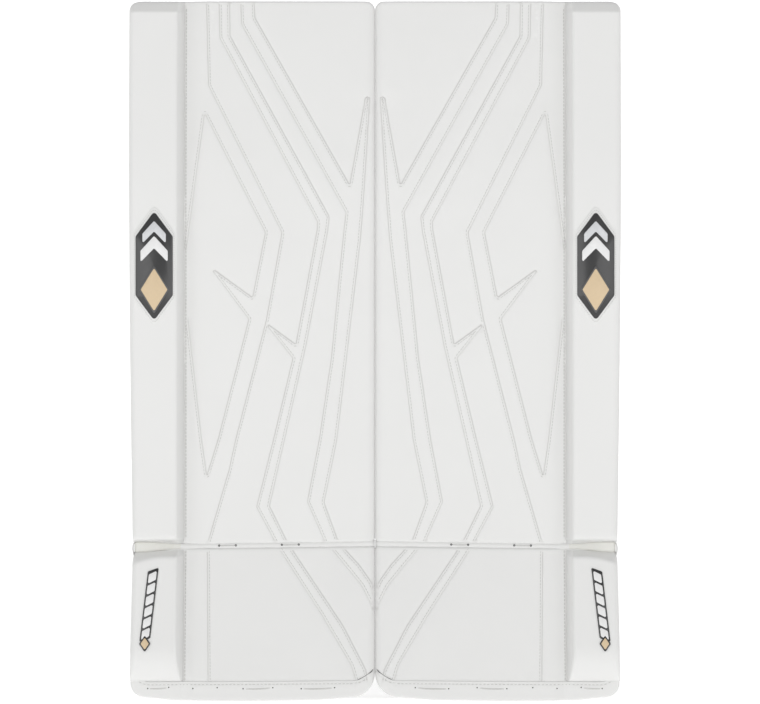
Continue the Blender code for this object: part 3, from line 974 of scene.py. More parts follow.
def roll_section(inner_edge, outer, front, inset=0.0):
    """One (u, v) section of a roll, from the foot of its flank over the front and round to the back."""
    inner_foot = ROLL_SEAM + 0.5 * MM
    rise = max(FLANK_FOOT_V - front, 1e-4)
    crown = CROWN * min(1.0, rise / ROLL_RISE)
    corners = [(inner_foot, FLANK_FOOT_V, 0), (inner_edge, front, min(4.0 * MM, 0.4 * rise))]
    for share in (0.2, 0.4, 0.6, 0.8):
        u = inner_edge + (outer - inner_edge) * share
        corners.append((u, front - crown * math.sin(math.pi * share), 0))
    corners += [
        (outer, front, min(7.0 * MM, 0.4 * rise)),
        (outer, ROLL_BACK - inset, 2.0 * MM),
        (inner_foot + 4.0 * MM, ROLL_BACK - inset, 1.0 * MM),
    ]
    return rounded(corners, steps=6)


def round_over(distance, radius):
    """How far a rounded edge has drawn back at this distance from its end."""
    if distance >= radius:
        return 0.0
    return radius - math.sqrt(max(0.0, radius**2 - (radius - distance) ** 2))


def shin_roll():
    """The outer roll: its underside slopes in over the break, and its top end slopes back to the edge."""
    foot, front_foot, ridge, top = 0.1768, 0.1812, 0.7838, TOP - 0.4 * MM
    levels = [foot, foot + 0.002, 0.1790, 0.1802, front_foot, 0.1820, 0.1832, 0.1848, 0.1875]
    levels += list(np.linspace(0.1920, ridge - 0.006, 70))
    levels += [ridge + step * MM for step in (-3.0, -1.5, -0.5, 0.5, 1.5, 3.0)]
    levels += list(np.linspace(ridge + 0.0045, top - 0.0030, 6)) + [top - 0.0018, top - 0.0008, top]
    rings = []
    for z in levels:
        share = (z - foot) / (top - foot)
        bulge = 0.4 * MM + 1.4 * MM * math.sin(math.pi * share)
        outer = BREAK_WIDTH + (TOP_WIDTH - BREAK_WIDTH) * share + bulge
        if z < front_foot:
            front = 1.0 * MM - 11.0 * MM * ((z - foot) / (front_foot - foot)) ** 1.6
        else:
            front = -ROLL_RISE + round_over(z - front_foot, 6.0 * MM) * 1.1
        past_ridge = z - ridge + 0.001
        if past_ridge > 0:
            front = max(front, -ROLL_RISE + 1.024 * past_ridge**1.08)
        outer -= round_over(top + 0.4 * MM - z, 11.0 * MM) if z > top - 11.0 * MM else 0.0
        outer -= round_over(z - foot, 4.0 * MM) * 0.8
        end = round_over(top - z + 0.2 * MM, 2.5 * MM)
        section = roll_section(ROLL_EDGE + 0.8 * MM, outer - end * 0.4, front + end, inset=end)
        rings.append([(u, v, z) for u, v in section])
    return outward(loft(rings))


# The height of the boot roll's front top edge at its inner side.
BOOT_ROLL_TOP = 0.1638


def boot_roll_edge(u):
    """The height of the boot roll's front top edge, which curves down toward the outer side."""
    share = min(1.1, max(0.0, (u - ROLL_EDGE) / (BREAK_WIDTH - ROLL_EDGE)))
    return BOOT_ROLL_TOP + 0.0010 * math.sin(math.pi * min(share, 1.0)) - 0.0072 * share**2.4


def boot_roll():
    """The boot's roll: it fades out at the toe band, and its top slopes up and back into the break."""
    foot, bend = 0.0225, 0.0620
    rises = np.concatenate([np.linspace(0, 0.24, 14), np.linspace(0.27, 0.955, 26), (0.97, 0.985, 1.0)])
    rings = []
    for share in rises:
        z = foot + (BOOT_ROLL_TOP - foot) * share
        outer = SOLE_WIDTH + 0.4 * MM - (SOLE_WIDTH - BREAK_WIDTH) * share
        fade = max(0.0, (bend - z) / (bend - foot))
        front = -ROLL_RISE + (ROLL_RISE - 1.0 * MM) * fade**1.9
        front += round_over(BOOT_ROLL_TOP - z, 4.0 * MM) * 0.45
        section = roll_section(ROLL_EDGE + 0.8 * MM - 5.0 * MM * fade**2, outer, front)
        rings.append([(u, v, foot + (boot_roll_edge(u) - foot) * share) for u, v in section])
    for share in (0.08, 0.2, 0.36, 0.52, 0.68, 0.84, 1.0):
        front = -ROLL_RISE + 1.8 * MM + (ROLL_RISE - 3.4 * MM) * share**0.85
        outer = BREAK_WIDTH + 0.4 * MM - 2.2 * MM * share**2
        section = roll_section(ROLL_EDGE + 0.8 * MM, outer, front)
        ring = []
        for u, v in section:
            back_edge = break_low(u) - 2.0 * MM
            ring.append((u, v, boot_roll_edge(u) + (back_edge - boot_roll_edge(u)) * share))
        rings.append(ring)
    return outward(loft(rings))


def on_roll(shape):
    """Bends a flat piece onto the crowned front of the roll."""
    bent = []
    for u, v, z in shape.points:
        share = min(1.0, max(0.0, (u - ROLL_EDGE) / (TOP_WIDTH - 0.002 - ROLL_EDGE)))
        bent.append((u, v - ROLL_RISE - CROWN * math.sin(math.pi * share), z))
    shape.points = bent
    return shape


def layer(corners, low, high, paint, edge=0.35 * MM):
    """A flat piece of a badge, from low to high above the roll. It is cut fine enough to bend onto it."""
    outline = resample(rounded(corners, steps=4), 1.6 * MM, closed=True)
    return extrude_outline(outline, -high, -low, edge, paint, steps=2)


def around(middle, corners, size=1.0, radius=1.0 * MM):
    """Rounded corners round a middle point, from a small drawing in millimetres."""
    return [(middle[0] + u * MM * size, middle[1] + z * MM * size, radius) for u, z in corners]


def roll_badge():
    """A generic badge: a long six-sided plate with two chevrons over a lozenge."""
    middle = (0.2497, 0.4935)
    plate = [(0, -63), (21.5, -34), (21.5, 34), (0, 63), (-21.5, 34), (-21.5, -34)]
    lozenge = [(0, -25), (15.5, 0), (0, 25), (-15.5, 0)]
    chevron = [(-15.5, -9), (0, 7), (15.5, -9), (15.5, 4), (0, 21), (-15.5, 4)]
    low, high = (middle[0], middle[1] - 0.0270), (middle[0], middle[1] + 0.0130)
    upper = (middle[0], middle[1] + 0.0330)
    badge = layer(around(middle, plate, 1.10, 4.0 * MM), -0.1 * MM, 0.8 * MM, 0)
    badge.join(layer(around(middle, plate, 0.985, 3.0 * MM), 0.6 * MM, 1.5 * MM, 1))
    badge.join(layer(around(low, lozenge, 1.10), 1.3 * MM, 2.0 * MM, 2))
    badge.join(layer(around(low, lozenge, 0.98), 1.8 * MM, 2.5 * MM, 3))
    badge.join(layer(around(high, chevron, 1.0), 1.3 * MM, 2.3 * MM, 4))
    badge.join(layer(around(upper, chevron, 0.86), 1.3 * MM, 2.1 * MM, 5))
    border = resample(rounded(around(middle, plate, 1.045, 4.0 * MM)), 2.6 * MM, closed=True)
    way = tangents(border, closed=True)
    spots, along = [(u, -0.9 * MM, z) for u, z in border], [(a[0], 0, a[1]) for a in way]
    badge.join(capsule_row(spots, along, 1.7 * MM, 0.3 * MM), paint=6)
    return on_roll(badge)


def boot_badge():
    """A generic label: a slanted bar of plain blocks, with a lozenge at its lower end."""
    middle_u, low, high, half = 0.2592, 0.0700, 0.1490, 6.2 * MM
    slope = -0.0088 / (high - low)
    slant = 2.2 * MM

    def bar(z_low, z_high, inset):
        """A slanted bar between two heights, this far inside the label's sides."""
        corners = []
        for side, z in ((-1, z_low), (1, z_low), (1, z_high), (-1, z_high)):
            u = middle_u + slope * (z - low) + side * (half - inset)
            corners.append((u, z - side * slant, 1.0 * MM))
        return corners

    badge = layer(bar(low, high, 0), -0.1 * MM, 0.9 * MM, 0, 0.25 * MM)
    blocks = 6
    step = (high - low - 3.0 * MM) / blocks
    for k in range(blocks):
        start = low + 2.0 * MM + k * step
        block = bar(start, start + step - 2.4 * MM, 1.7 * MM)
        badge.join(layer(block, 0.7 * MM, 1.4 * MM, 1, 0.2 * MM))
    tip = [(0, -9.5), (6.5, 0), (0, 9.5), (-6.5, 0)]
    spot = (middle_u, low - 4.0 * MM)
    badge.join(layer(around(spot, tip), 0.4 * MM, 1.5 * MM, 0, 0.25 * MM))
    badge.join(layer(around(spot, tip, 0.72, 0.6 * MM), 1.3 * MM, 1.9 * MM, 2, 0.2 * MM))
    return on_roll(badge)


def add_rolls():
    """The outer rolls and the generic badges on them."""
    add_pair("shin_roll_skin", shin_roll(), "shin", [LEATHER], ["shin_roll"])
    add_pair("boot_roll_skin", boot_roll(), "boot", [LEATHER], ["boot_roll"])
    paints = [LEATHER, BLACK, GREY, TAN, BADGE_WHITE, SILVER, THREAD]
    add_pair("roll_emblem", roll_badge(), "shin", paints, ["roll_badge"], sharp=40)
    paints = [BLACK, BADGE_WHITE, TAN]
    add_pair("boot_emblem", boot_badge(), "boot", paints, ["boot_badge"], sharp=40)


# ---------------------------------------------------------------- the break and the toe

def break_low(u):
    """The height of the boot's top edge."""
    return BOOT_TOP - BOOT_TOP_DROP * u


def break_high(u):
    """The height of the shin's bottom edge."""
    return SHIN_FOOT - SHIN_FOOT_DROP * u


def break_fold():
    """The strip across the break: a plump fold under the face, which fans out forward under the roll."""
    rings, folded = [], []
    for u in np.linspace(-0.7 * MM, 0.2730, 100):
        fan = float(ease((u - 0.2190) / 0.046))
        low = break_low(u) - 1.2 * MM - 2.2 * MM * fan
        high = break_high(u) + 1.2 * MM + 3.4 * MM * fan
        front = 1.0 * MM - float(puff(u)) - 9.0 * MM * fan + round_over(0.2732 - u, 4.0 * MM)
        front += float(inner_drop(u))
        middle, half = (low + high) / 2, (high - low) / 2
        depth = (4.0 + 2.0 * fan) * MM
        ring = []
        for angle in np.linspace(0, math.pi, 17):
            pleat = 0.5 * MM * fan * math.cos(4 * angle)
            v = front + pleat + depth * (1 - math.sin(angle))
            ring.append((u, v, middle - half * math.cos(angle)))
        ring += [(u, 0.014, high), (u, 0.014, low)]
        rings.append(ring)
        # Painted shade: the rings under the roll get the darker, yellower material of the recess.
        folded.append(int(u > ROLL_SEAM + 0.002))
    shape = loft(rings)
    around = len(rings[0])
    shape.paints = [folded[i // around] for i in range(around * (len(rings) - 1))] + [0, 1]
    return outward(shape)


# Where the eyelets are along the strip.
EYELETS = (0.0859, 0.1052, 0.1577, 0.1767)


def strip_middle(u):
    """The height of the strip's middle line."""
    return (break_low(u) + break_high(u)) / 2


def disc_outline(u, z, radius, sides=16):
    """A circle on the face."""
    return [(u + radius * math.cos(a), z + radius * math.sin(a)) for a in circle(sides)]


def eyelets():
    """Black grommets in the strip, each with a black disc in its hole as painted shade."""
    made = Shape()
    for u in EYELETS:
        z = strip_middle(u) + 0.5 * MM
        v = 1.2 * MM - float(puff(u))
        ring = [(a, v - 0.2 * MM, b) for a, b in disc_outline(u, z, 0.85 * MM)]
        made.join(tube(ring, 0.40 * MM, sides=8, closed=True))
        # Painted shade: a black disc fills the hole.
        hole = disc_outline(u, z, 0.9 * MM)
        made.join(extrude_outline(hole, v - 0.1 * MM, v + 1.0 * MM, 0.1 * MM, steps=1))
    return made


def slack_ribbon(start, end, forward, drop, width, thickness):
    """A flat lace from hole to hole, which stands forward and sags a little between them."""
    start, end = np.array(start), np.array(end)
    path = []
    for share in np.linspace(0, 1, 25):
        sag = max(0.0, math.sin(math.pi * share))
        path.append(start + (end - start) * share - np.array((0, forward * sag**0.7, drop * sag)))
    return tube(path, width / 2, sides=10, flat=thickness / width)


# Where each stretch of the toe's lace comes out and goes in again.
TOE_LACES = ((0.0450, 0.0822), (0.1150, 0.1480), (0.1780, 0.2050), (0.2330, 0.2562))


def toe_laces():
    """The slack lace in front of the toe band."""
    made = Shape()
    for start, end in TOE_LACES:
        near = (start, face_v(start, 0.0155, BOOT_LINES) + 0.6 * MM, 0.0155)
        far = (end, face_v(end, 0.0143, BOOT_LINES) + 0.6 * MM, 0.0143)
        made.join(slack_ribbon(near, far, 1.3 * MM, 0.9 * MM, 1.5 * MM, 0.9 * MM))
    return made


def toe_hole_shades():
    """Black discs as painted shade in the punched holes that the toe lace goes through."""
    made = Shape()
    for start, end in TOE_LACES:
        for u, z in ((start - 0.3 * MM, 0.0156), (end + 0.3 * MM, 0.0144)):
            v = face_v(u, z, BOOT_LINES)
            hole = disc_outline(u, z, 0.75 * MM, sides=14)
            made.join(extrude_outline(hole, v - 0.55 * MM, v + 0.6 * MM, 0.1 * MM, steps=1))
    return made


def toe_piping():
    """The rounded edge of the toe band, where it is turned over and sewn to the boot's face."""
    corners = [(u, z + 0.4 * MM, radius) for u, z, radius in TOE_LINE_PATH]
    path = resample(rounded(corners, steps=8, closed=False), 3.0 * MM)
    path = path[(path[:, 0] > 0.5 * MM) & (path[:, 0] < SOLE_WIDTH - 0.5 * MM)]
    return tube([(u, face_v(u, z, BOOT_LINES) - 0.2 * MM, z) for u, z in path], 0.9 * MM, sides=8)


def break_tab():
    """The small loop at the outer end of the break."""
    bend = [(0.2712, 0.1815), (0.2742, 0.1772), (0.2750, 0.1710), (0.2738, 0.1650), (0.2716, 0.1610)]
    path = smooth_path(bend)
    return band(path, 1.3 * MM, -7.0 * MM, 3.0 * MM, sideways)


def toe_corner_shadow():
    """A black sliver as painted shadow under the turned edge at the toe's inner corner."""
    path = smooth_path([(0.0190, 0.0232), (0.0120, 0.0262), (0.0055, 0.0305), (0.0010, 0.0352)], 6)
    spots = [(u, face_v(u, z, BOOT_LINES) + 0.1 * MM, z + 0.6 * MM) for u, z in path]
    rings = []
    for k, (u, v, z) in enumerate(spots):
        size = 0.25 * MM + 0.65 * MM * math.sin(math.pi * k / (len(spots) - 1))
        rings.append([(u, v + 0.5 * size * math.cos(a), z + size * math.sin(a)) for a in circle(8)])
    return outward(loft(rings))


def break_laces():
    """The lace that runs behind the strip and shows faintly between each two eyelets."""
    lace = Shape()
    for k in (0, 2):
        ends = []
        for u in EYELETS[k : k + 2]:
            ends.append((u, 1.35 * MM - float(puff(u)), strip_middle(u) + 0.4 * MM))
        lace.join(slack_ribbon(*ends, 0.45 * MM, 0.2 * MM, 1.5 * MM, 0.7 * MM))
    return lace


def add_break_and_toe():
    """The laced strip between the shin and the boot, and the toe's lace and piping."""
    middle = 0.14
    across = ("boot", (middle, 0.0, break_high(middle)), (middle, 0.0, break_low(middle)))
    paints = [LEATHER, FOLD_SHADE]
    add_pair("break_fold", break_fold(), "shin", paints, ["break_gusset"], across=across)
    add_pair("break_eyelets", eyelets(), "shin", [BUCKLE_AND_SHADE], across=across)
    add_pair("break_laces", break_laces(), "shin", [LACE], ["break_lace"], across=across)
    add_pair("break_tab", break_tab(), "shin", [LEATHER], across=across)
    add_pair("toe_laces", toe_laces(), "boot", [LACE], ["toe_lace"])
    # Painted shade: black discs in the toe's lace holes and a black sliver at the toe's inner corner.
    holes = toe_hole_shades().join(toe_corner_shadow())
    add_pair("toe_hole_shades", holes, "boot", [BUCKLE_AND_SHADE])
    add_pair("toe_piping", toe_piping(), "boot", [LEATHER], ["toe_band"])


# ---------------------------------------------------------------- stuffed pieces

class Cushion:
    """A padded piece to be filled as cloth under pressure: its slack cover, how far it may swell, and the
    room that its neighbours leave it. A cover with a voxel size is remeshed before it is filled."""

    def __init__(self, cover, swell, voxel=None, low=(-1, -1, -1), high=(1, 1, 1), levels=1):
        self.shape = cover
        self.swell = swell
        self.voxel = voxel
        self.low = low
        self.high = high
        self.levels = levels


def loose_object(name, shape):
    """A working object of the shape, still in pad coordinates."""
    mesh = bpy.data.meshes.new(name)
    mesh.from_pydata([tuple(p) for p in shape.points], [], shape.faces)
    mesh.polygons.foreach_set("material_index", shape.paints)
    obj = bpy.data.objects.new(name, mesh)
    bpy.context.scene.collection.objects.link(obj)
    return obj


def evaluated_shape(obj):
    """The shape that the object's modifiers give now."""
    evaluated = obj.evaluated_get(bpy.context.evaluated_depsgraph_get())
    mesh = evaluated.to_mesh()
    shape = Shape()
    shape.points = [tuple(v.co) for v in mesh.vertices]
    shape.faces = [tuple(p.vertices) for p in mesh.polygons]
    shape.paints = [p.material_index for p in mesh.polygons]
    evaluated.to_mesh_clear()
    return shape


def discard(obj):
    """Takes a working object and its mesh out of the file."""
    mesh = obj.data
    bpy.data.objects.remove(obj)
    bpy.data.meshes.remove(mesh)


def modified(shape, kind, **settings):
    """The shape after one modifier."""
    obj = loose_object("modified", shape)
    modifier = obj.modifiers.new("change", kind)
    for key, value in settings.items():
        setattr(modifier, key, value)
    made = evaluated_shape(obj)
    discard(obj)
    return made


def fill_cushions(cushions):
    """Fills all the covers in one run of the cloth solver, and holds each point in its swell and room."""
    scene = bpy.context.scene
    objects = {}
    for name, cushion in cushions.items():
        if cushion.voxel:
            settings = {"mode": "VOXEL", "voxel_size": cushion.voxel}
            cushion.shape = modified(cushion.shape, "REMESH", **settings)
        obj = loose_object("cloth_" + name, cushion.shape)
        cloth = obj.modifiers.new("cloth", "CLOTH")
        cloth.settings.quality = 5
        cloth.settings.mass = 0.3
        cloth.settings.tension_stiffness = 20
        cloth.settings.compression_stiffness = 20
        cloth.settings.bending_stiffness = 2
        cloth.settings.use_pressure = True
        cloth.settings.uniform_pressure_force = 4
        cloth.settings.effector_weights.gravity = 0
        cloth.point_cache.frame_start = 1
        cloth.point_cache.frame_end = 20
        objects[name] = obj
    for step in range(1, 21):
        scene.frame_set(step)
    for name, obj in objects.items():
        cushion = cushions[name]
        rest = np.array(cushion.shape.points)
        move = np.array(evaluated_shape(obj).points) - rest
        far = np.maximum(np.linalg.norm(move, axis=1, keepdims=True), 1e-9)
        rest = rest + move * np.minimum(1.0, cushion.swell / far)
        cushion.shape.points = [tuple(p) for p in np.clip(rest, cushion.low, cushion.high)]
        discard(obj)
    scene.frame_set(1)
    for cushion in cushions.values():
        settings = {"levels": cushion.levels, "render_levels": cushion.levels}
        cushion.shape = modified(cushion.shape, "SUBSURF", **settings)


def face_measures(shape):
    """The middle and the unit normal of each face."""
    points = np.array(shape.points)
    middles = np.array([points[list(face)].mean(0) for face in shape.faces])
    normals = np.array(
        [np.cross(points[f[2]] - points[f[0]], points[f[-1]] - points[f[1]]) for f in shape.faces]
    )
    return middles, normals / np.maximum(np.linalg.norm(normals, axis=1, keepdims=True), 1e-12)


def point_normals(shape):
    """The unit normal at each point."""
    _, normals = face_measures(shape)
    total = np.zeros((len(shape.points), 3))
    for face, normal in zip(shape.faces, normals):
        total[list(face)] += normal
    return total / np.maximum(np.linalg.norm(total, axis=1, keepdims=True), 1e-12)


def press_grooves(shape, axis, places, depth, width, where):
    """Pulls channels in at these places along an axis, on the points whose normals where accepts."""
    points, normals = np.array(shape.points), point_normals(shape)
    gap = np.min(np.abs(points[:, axis : axis + 1] - np.array(places)), axis=1)
    pull = depth * np.exp(-((gap / width) ** 2)) * where(points, normals)
    shape.points = [tuple(p) for p in points - normals * pull[:, None]]


def repaint(shape, rule):
    """Gives each face the material number that the rule picks from its middle and normal."""
    middles, normals = face_measures(shape)
    shape.paints = [int(paint) for paint in rule(middles, normals)]


def tree_of(shape):
    """A search tree of the shape's faces."""
    return BVHTree.FromPolygons([Vector(p) for p in shape.points], shape.faces)


def hug(tree, path, lift=0.0, about=None, closed=False):
    """The path moved onto the surface, and the surface's normals there. With an axis given in about, each
    point drops square to the path and to the axis, so a line stays in its groove. Else it takes the
    nearest spot."""
    spots, outs = [], []
    for point, way in zip(path, tangents(path, closed)):
        spot = None
        if about:
            spot, normal, _, _ = tree.ray_cast(Vector(point), Vector(way).cross(Vector(about)))
        if spot is None:
            spot, normal, _, _ = tree.find_nearest(Vector(point))
        spots.append(tuple(spot + normal * lift))
        outs.append(tuple(normal))
    return spots, outs


def surface_stitches(tree, path, closed=False, about=None):
    """A row of stitches on the surface, along a path near it."""
    even = resample(path, 4.5 * MM, closed)
    spots, outs = hug(tree, even, 0.05 * MM, about, closed)
    return capsule_row(spots, tangents(spots, closed), 3.0 * MM, 0.42 * MM, outs=outs)


def slack_block(low, high, corner, edge, inset=3.0 * MM):
    """A box with rounded corners, a little smaller than the room it will fill."""
    (u0, v0, z0), (u1, v1, z1) = low, high
    u0, u1, z0, z1 = u0 + inset, u1 - inset, z0 + inset, z1 - inset
    outline = [(u0, z0, corner), (u1, z0, corner), (u1, z1, corner), (u0, z1, corner)]
    return extrude_outline(rounded(outline, steps=5), v0, v1 - inset, edge)


def loop_at(low, high, v, inset, corner=8.0 * MM):
    """A rounded rectangle in the plane of this v, this far inside a box."""
    outline = [
        (low[0] + inset, low[2] + inset, corner),
        (high[0] - inset, low[2] + inset, corner),
        (high[0] - inset, high[2] - inset, corner),
        (low[0] + inset, high[2] - inset, corner),
    ]
    return [(u, v, z) for u, z in rounded(outline)]


# The room of each block on the pad's back, as its low and high corner in pad coordinates.
SLIDE = ((0.0020, BACK, 0.1950), (0.0280, 0.0950, 0.3980))
STACK = ((0.0020, BACK, 0.4040), (0.0640, 0.1320, 0.5840))
KNEE_PAD = ((0.0643, BACK, 0.4080), (0.0960, 0.1290, 0.5800))
CRADLE = ((0.1010, BACK, 0.4200), (0.2500, 0.0600, 0.5900))
SHIN_CUSHION = ((0.0320, BACK, 0.2000), (0.2480, 0.0570, 0.3950))

# Where the sewn channels and the stack's layers lie.
STACK_LAYERS = (0.0670, 0.0890, 0.1110)
CUSHION_CHANNELS = (0.2325, 0.2650, 0.2975, 0.3300, 0.3625)
CRADLE_CHANNELS = (0.4540, 0.4880, 0.5220, 0.5560)
PAD_CHANNELS = (0.4510, 0.4940, 0.5370)

# The wraps' middle lines, seen from above as (u, v).
OUTER_WRAP = smooth_path(
    [(0.2650, 0.0502), (0.2690, 0.0800), (0.2690, 0.1120), (0.2580, 0.1420),
     (0.2300, 0.1580), (0.1850, 0.1620), (0.1320, 0.1620)]
)
INNER_WRAP = smooth_path(
    [(0.0140, 0.0996), (0.0170, 0.1200), (0.0320, 0.1390), (0.0640, 0.1465), (0.1280, 0.1480)]
)
KNEE_WRAP = smooth_path(
    [(0.2650, 0.0502), (0.2700, 0.0800), (0.2690, 0.1080), (0.2590, 0.1330), (0.2350, 0.1450)]
)

# Each wrap's middle line, lower and upper edge, rounded tip, outer side (-1 is right of the line)
# and the heights of its channels.
WRAPS = {
    "outer_calf_wrap": (OUTER_WRAP, 0.2050, 0.3960, 0.035, -1, (0.2370, 0.2690, 0.3010, 0.3330, 0.3650)),
    "inner_calf_wrap": (INNER_WRAP, 0.2150, 0.3860, 0.030, 1, (0.2440, 0.2720, 0.3005, 0.3290, 0.3570)),
    "knee_wrap": (KNEE_WRAP, 0.4220, 0.5800, 0.030, -1, (0.4480, 0.4745, 0.5010, 0.5275, 0.5540)),
}
WRAP_SLACK = 5.0 * MM

# From the middle of a wrap to its surface, and from the middle of a strap to its surface.
WRAP_HALF = 4.5 * MM
STRAP_HALF = 1.25 * MM

# Each boot wing's inner and outer side, and the room that it may fill.
WING_U = {"inner_boot_wing": (0.0200, 0.0310), "outer_boot_wing": (0.2560, 0.2670)}
WING_ROOM = {"inner_boot_wing": (0.0176, 0.0335), "outer_boot_wing": (0.2535, 0.2694)}


def wing_outline(inset):
    """The outline of a boot wing, as (v, z) points this far inside its room."""
    return rounded(
        [
            (BACK, 0.0100, 0.004),
            (0.0700, inset, 0.010),
            (0.1120 - inset, inset, 0.010),
            (0.1120 - inset, 0.0700, 0.040),
            (0.0800, 0.1500 - inset, 0.018),
            (BACK, 0.1500 - inset, 0.004),
        ]
    )


def slack_wing(u_inner, u_outer):
    """The slack cover of a boot wing."""
    flat = extrude_outline(wing_outline(2.5 * MM), u_inner + 1.8 * MM, u_outer - 1.8 * MM, 2.5 * MM)
    flat.points = [(depth, v, z) for v, depth, z in flat.points]
    return outward(flat)


def slack_wrap(name):
    """The flat cover of a wrap: leather outside, liner inside, binding on its edges."""
    path, low, high, tip, outside, _ = WRAPS[name]
    sides = (1, 0) if outside < 0 else (0, 1)
    even = resample(path, 5.0 * MM)
    return band(even, WRAP_SLACK, low, high, tip=tip, steps=34, paints=(*sides, 0))


def all_cushions():
    """Every padded piece that is filled as cloth, with how far it may swell and the room it has."""
    proud = 3.5 * MM
    cushions = {
        "slide_panel": Cushion(
            slack_block(*SLIDE, 7 * MM, 6 * MM, 2.5 * MM), swell=5 * MM, voxel=5 * MM,
            low=(0.0012, BACK, 0.1915), high=(0.0300, 0.0975, 0.4035),
        ),
        "knee_stack": Cushion(
            slack_block(*STACK, 9 * MM, 7 * MM), swell=6 * MM, voxel=5 * MM,
            low=(0.0012, BACK, 0.4038), high=(0.0641, 0.1345, 0.5870), levels=2,
        ),
        "knee_pad": Cushion(
            slack_block(*KNEE_PAD, 9 * MM, 8 * MM), swell=6 * MM, voxel=5 * MM,
            low=(0.0643, BACK, 0.4050), high=(0.0995, 0.1325, 0.5835),
        ),
        "knee_cradle": Cushion(
            slack_block(*CRADLE, 12 * MM, 5 * MM), swell=7 * MM, voxel=5 * MM,
            low=(0.1000, BACK, 0.4165), high=(0.2535, 0.0600 + proud, 0.5935),
        ),
        "shin_cushion": Cushion(
            slack_block(*SHIN_CUSHION, 12 * MM, 4 * MM), swell=7 * MM, voxel=5 * MM,
            low=(0.0302, BACK, 0.1965), high=(0.2510, 0.0570 + proud, 0.3985),
        ),
    }
    for name, (u_low, u_high) in WING_ROOM.items():
        cushions[name] = Cushion(
            slack_wing(*WING_U[name]), swell=5 * MM, voxel=4.5 * MM,
            low=(u_low, BACK, 0.4 * MM), high=(u_high, 0.1140, 0.1520),
        )
    for name in WRAPS:
        cushions[name] = Cushion(slack_wrap(name), swell=2.2 * MM)
    return cushions


def back_facing(_, normals):
    """A rule that accepts the points that face the leg."""
    return np.clip((normals[:, 1] - 0.3) / 0.5, 0, 1)


def side_facing(_, normals):
    """A rule that accepts the points that face sideways, up or down."""
    return np.clip(1.2 - 1.6 * np.abs(normals[:, 1]), 0, 1)


def wrap_outside(name):
    """A rule that accepts the points on the outside of a wrap."""
    path, _, _, _, outside, _ = WRAPS[name]
    even = resample(path, 4.0 * MM)
    out = left_normals(even) * outside

    def rule(points, normals):
        """Compares each normal with the way out at the nearest spot of the wrap."""
        nearest = np.argmin(np.linalg.norm(points[:, None, :2] - even, axis=2), axis=1)
        return np.clip((np.sum(normals[:, :2] * out[nearest], axis=1) - 0.3) / 0.5, 0, 1)

    return rule


def piping_round(tree, loop, radius):
    """A piped edge on the surface, along a closed loop near it."""
    spots, _ = hug(tree, resample(loop, 4.0 * MM, closed=True), lift=radius * 0.35)
    return tube(spots, radius, sides=8, closed=True)


def channel_stitches(tree, box, channels, v_out):
    """Rows of stitches in the channels across a cushion."""
    made = Shape()
    (u0, _, _), (u1, _, _) = box
    for z in channels:
        row = [(u0 + 8 * MM, v_out, z), (u1 - 8 * MM, v_out, z)]
        made.join(surface_stitches(tree, row, about=(0, 0, 1)))
    return made


def liner_cushion(name, shape, box, channels):
    """A quilted liner cushion with a bound edge."""
    press_grooves(shape, 2, channels, 3.2 * MM, 3.4 * MM, back_facing)
    repaint(shape, lambda middles, normals: (normals[:, 1] < 0.25).astype(int))
    add_pair(name, shape, "shin", [LINER, NYLON], [name])
    tree = tree_of(shape)
    low, high = box
    edge = piping_round(tree, loop_at(low, high, high[1], 3.0 * MM), 1.7 * MM)
    add_pair(name + "_binding", edge, "shin", [BINDING])
    rows = channel_stitches(tree, box, channels, high[1] + 10 * MM)
    add_pair(name + "_stitching", rows, "shin", [THREAD])


def add_block_cushions(filled):
    """The cushions and foam blocks on the back of the shin."""
    liner_cushion("shin_cushion", filled["shin_cushion"].shape, SHIN_CUSHION, CUSHION_CHANNELS)
    liner_cushion("knee_cradle", filled["knee_cradle"].shape, CRADLE, CRADLE_CHANNELS)
    liner_cushion("knee_pad", filled["knee_pad"].shape, KNEE_PAD, PAD_CHANNELS)

    stack = filled["knee_stack"].shape
    press_grooves(stack, 1, STACK_LAYERS, 2.6 * MM, 1.9 * MM, side_facing)
    add_pair("knee_stack", stack, "shin", [LEATHER], ["knee_stack"])
    slide = filled["slide_panel"].shape
    press_grooves(slide, 1, (0.0700,), 1.8 * MM, 2.4 * MM, side_facing)
    add_pair("slide_panel", slide, "shin", [LEATHER], ["slide_panel"])
    trim, rows = Shape(), Shape()
    for shape, (low, high) in ((stack, STACK), (slide, SLIDE)):
        tree = tree_of(shape)
        trim.join(piping_round(tree, loop_at(low, high, high[1], 3.0 * MM, 7.0 * MM), 1.5 * MM))
        loop = loop_at(low, high, high[1] + 10 * MM, 7.5 * MM, 5.0 * MM)
        rows.join(surface_stitches(tree, loop, closed=True))
    for v in STACK_LAYERS:
        loop = loop_at(*STACK, v, -6.0 * MM)
        rows.join(surface_stitches(tree_of(stack), loop, closed=True, about=(0, 1, 0)))
    add_pair("knee_stack_piping", trim, "shin", [LEATHER])
    add_pair("knee_stack_stitching", rows, "shin", [THREAD])


def wrap_edge(name):
    """The closed line round the edge of a wrap."""
    path, low, high, tip, _, _ = WRAPS[name]
    even = resample(path, 4.0 * MM)
    lengths = path_lengths(even)
    cuts = [tip_cut(lengths[-1] - length, tip) for length in lengths]
    lower = [(u, v, low + cut + 0.6 * MM) for (u, v), cut in zip(even, cuts)]
    upper = [(u, v, high - cut - 0.6 * MM) for (u, v), cut in zip(even, cuts)]
    return resample(lower + upper[::-1], 4.0 * MM, closed=True)


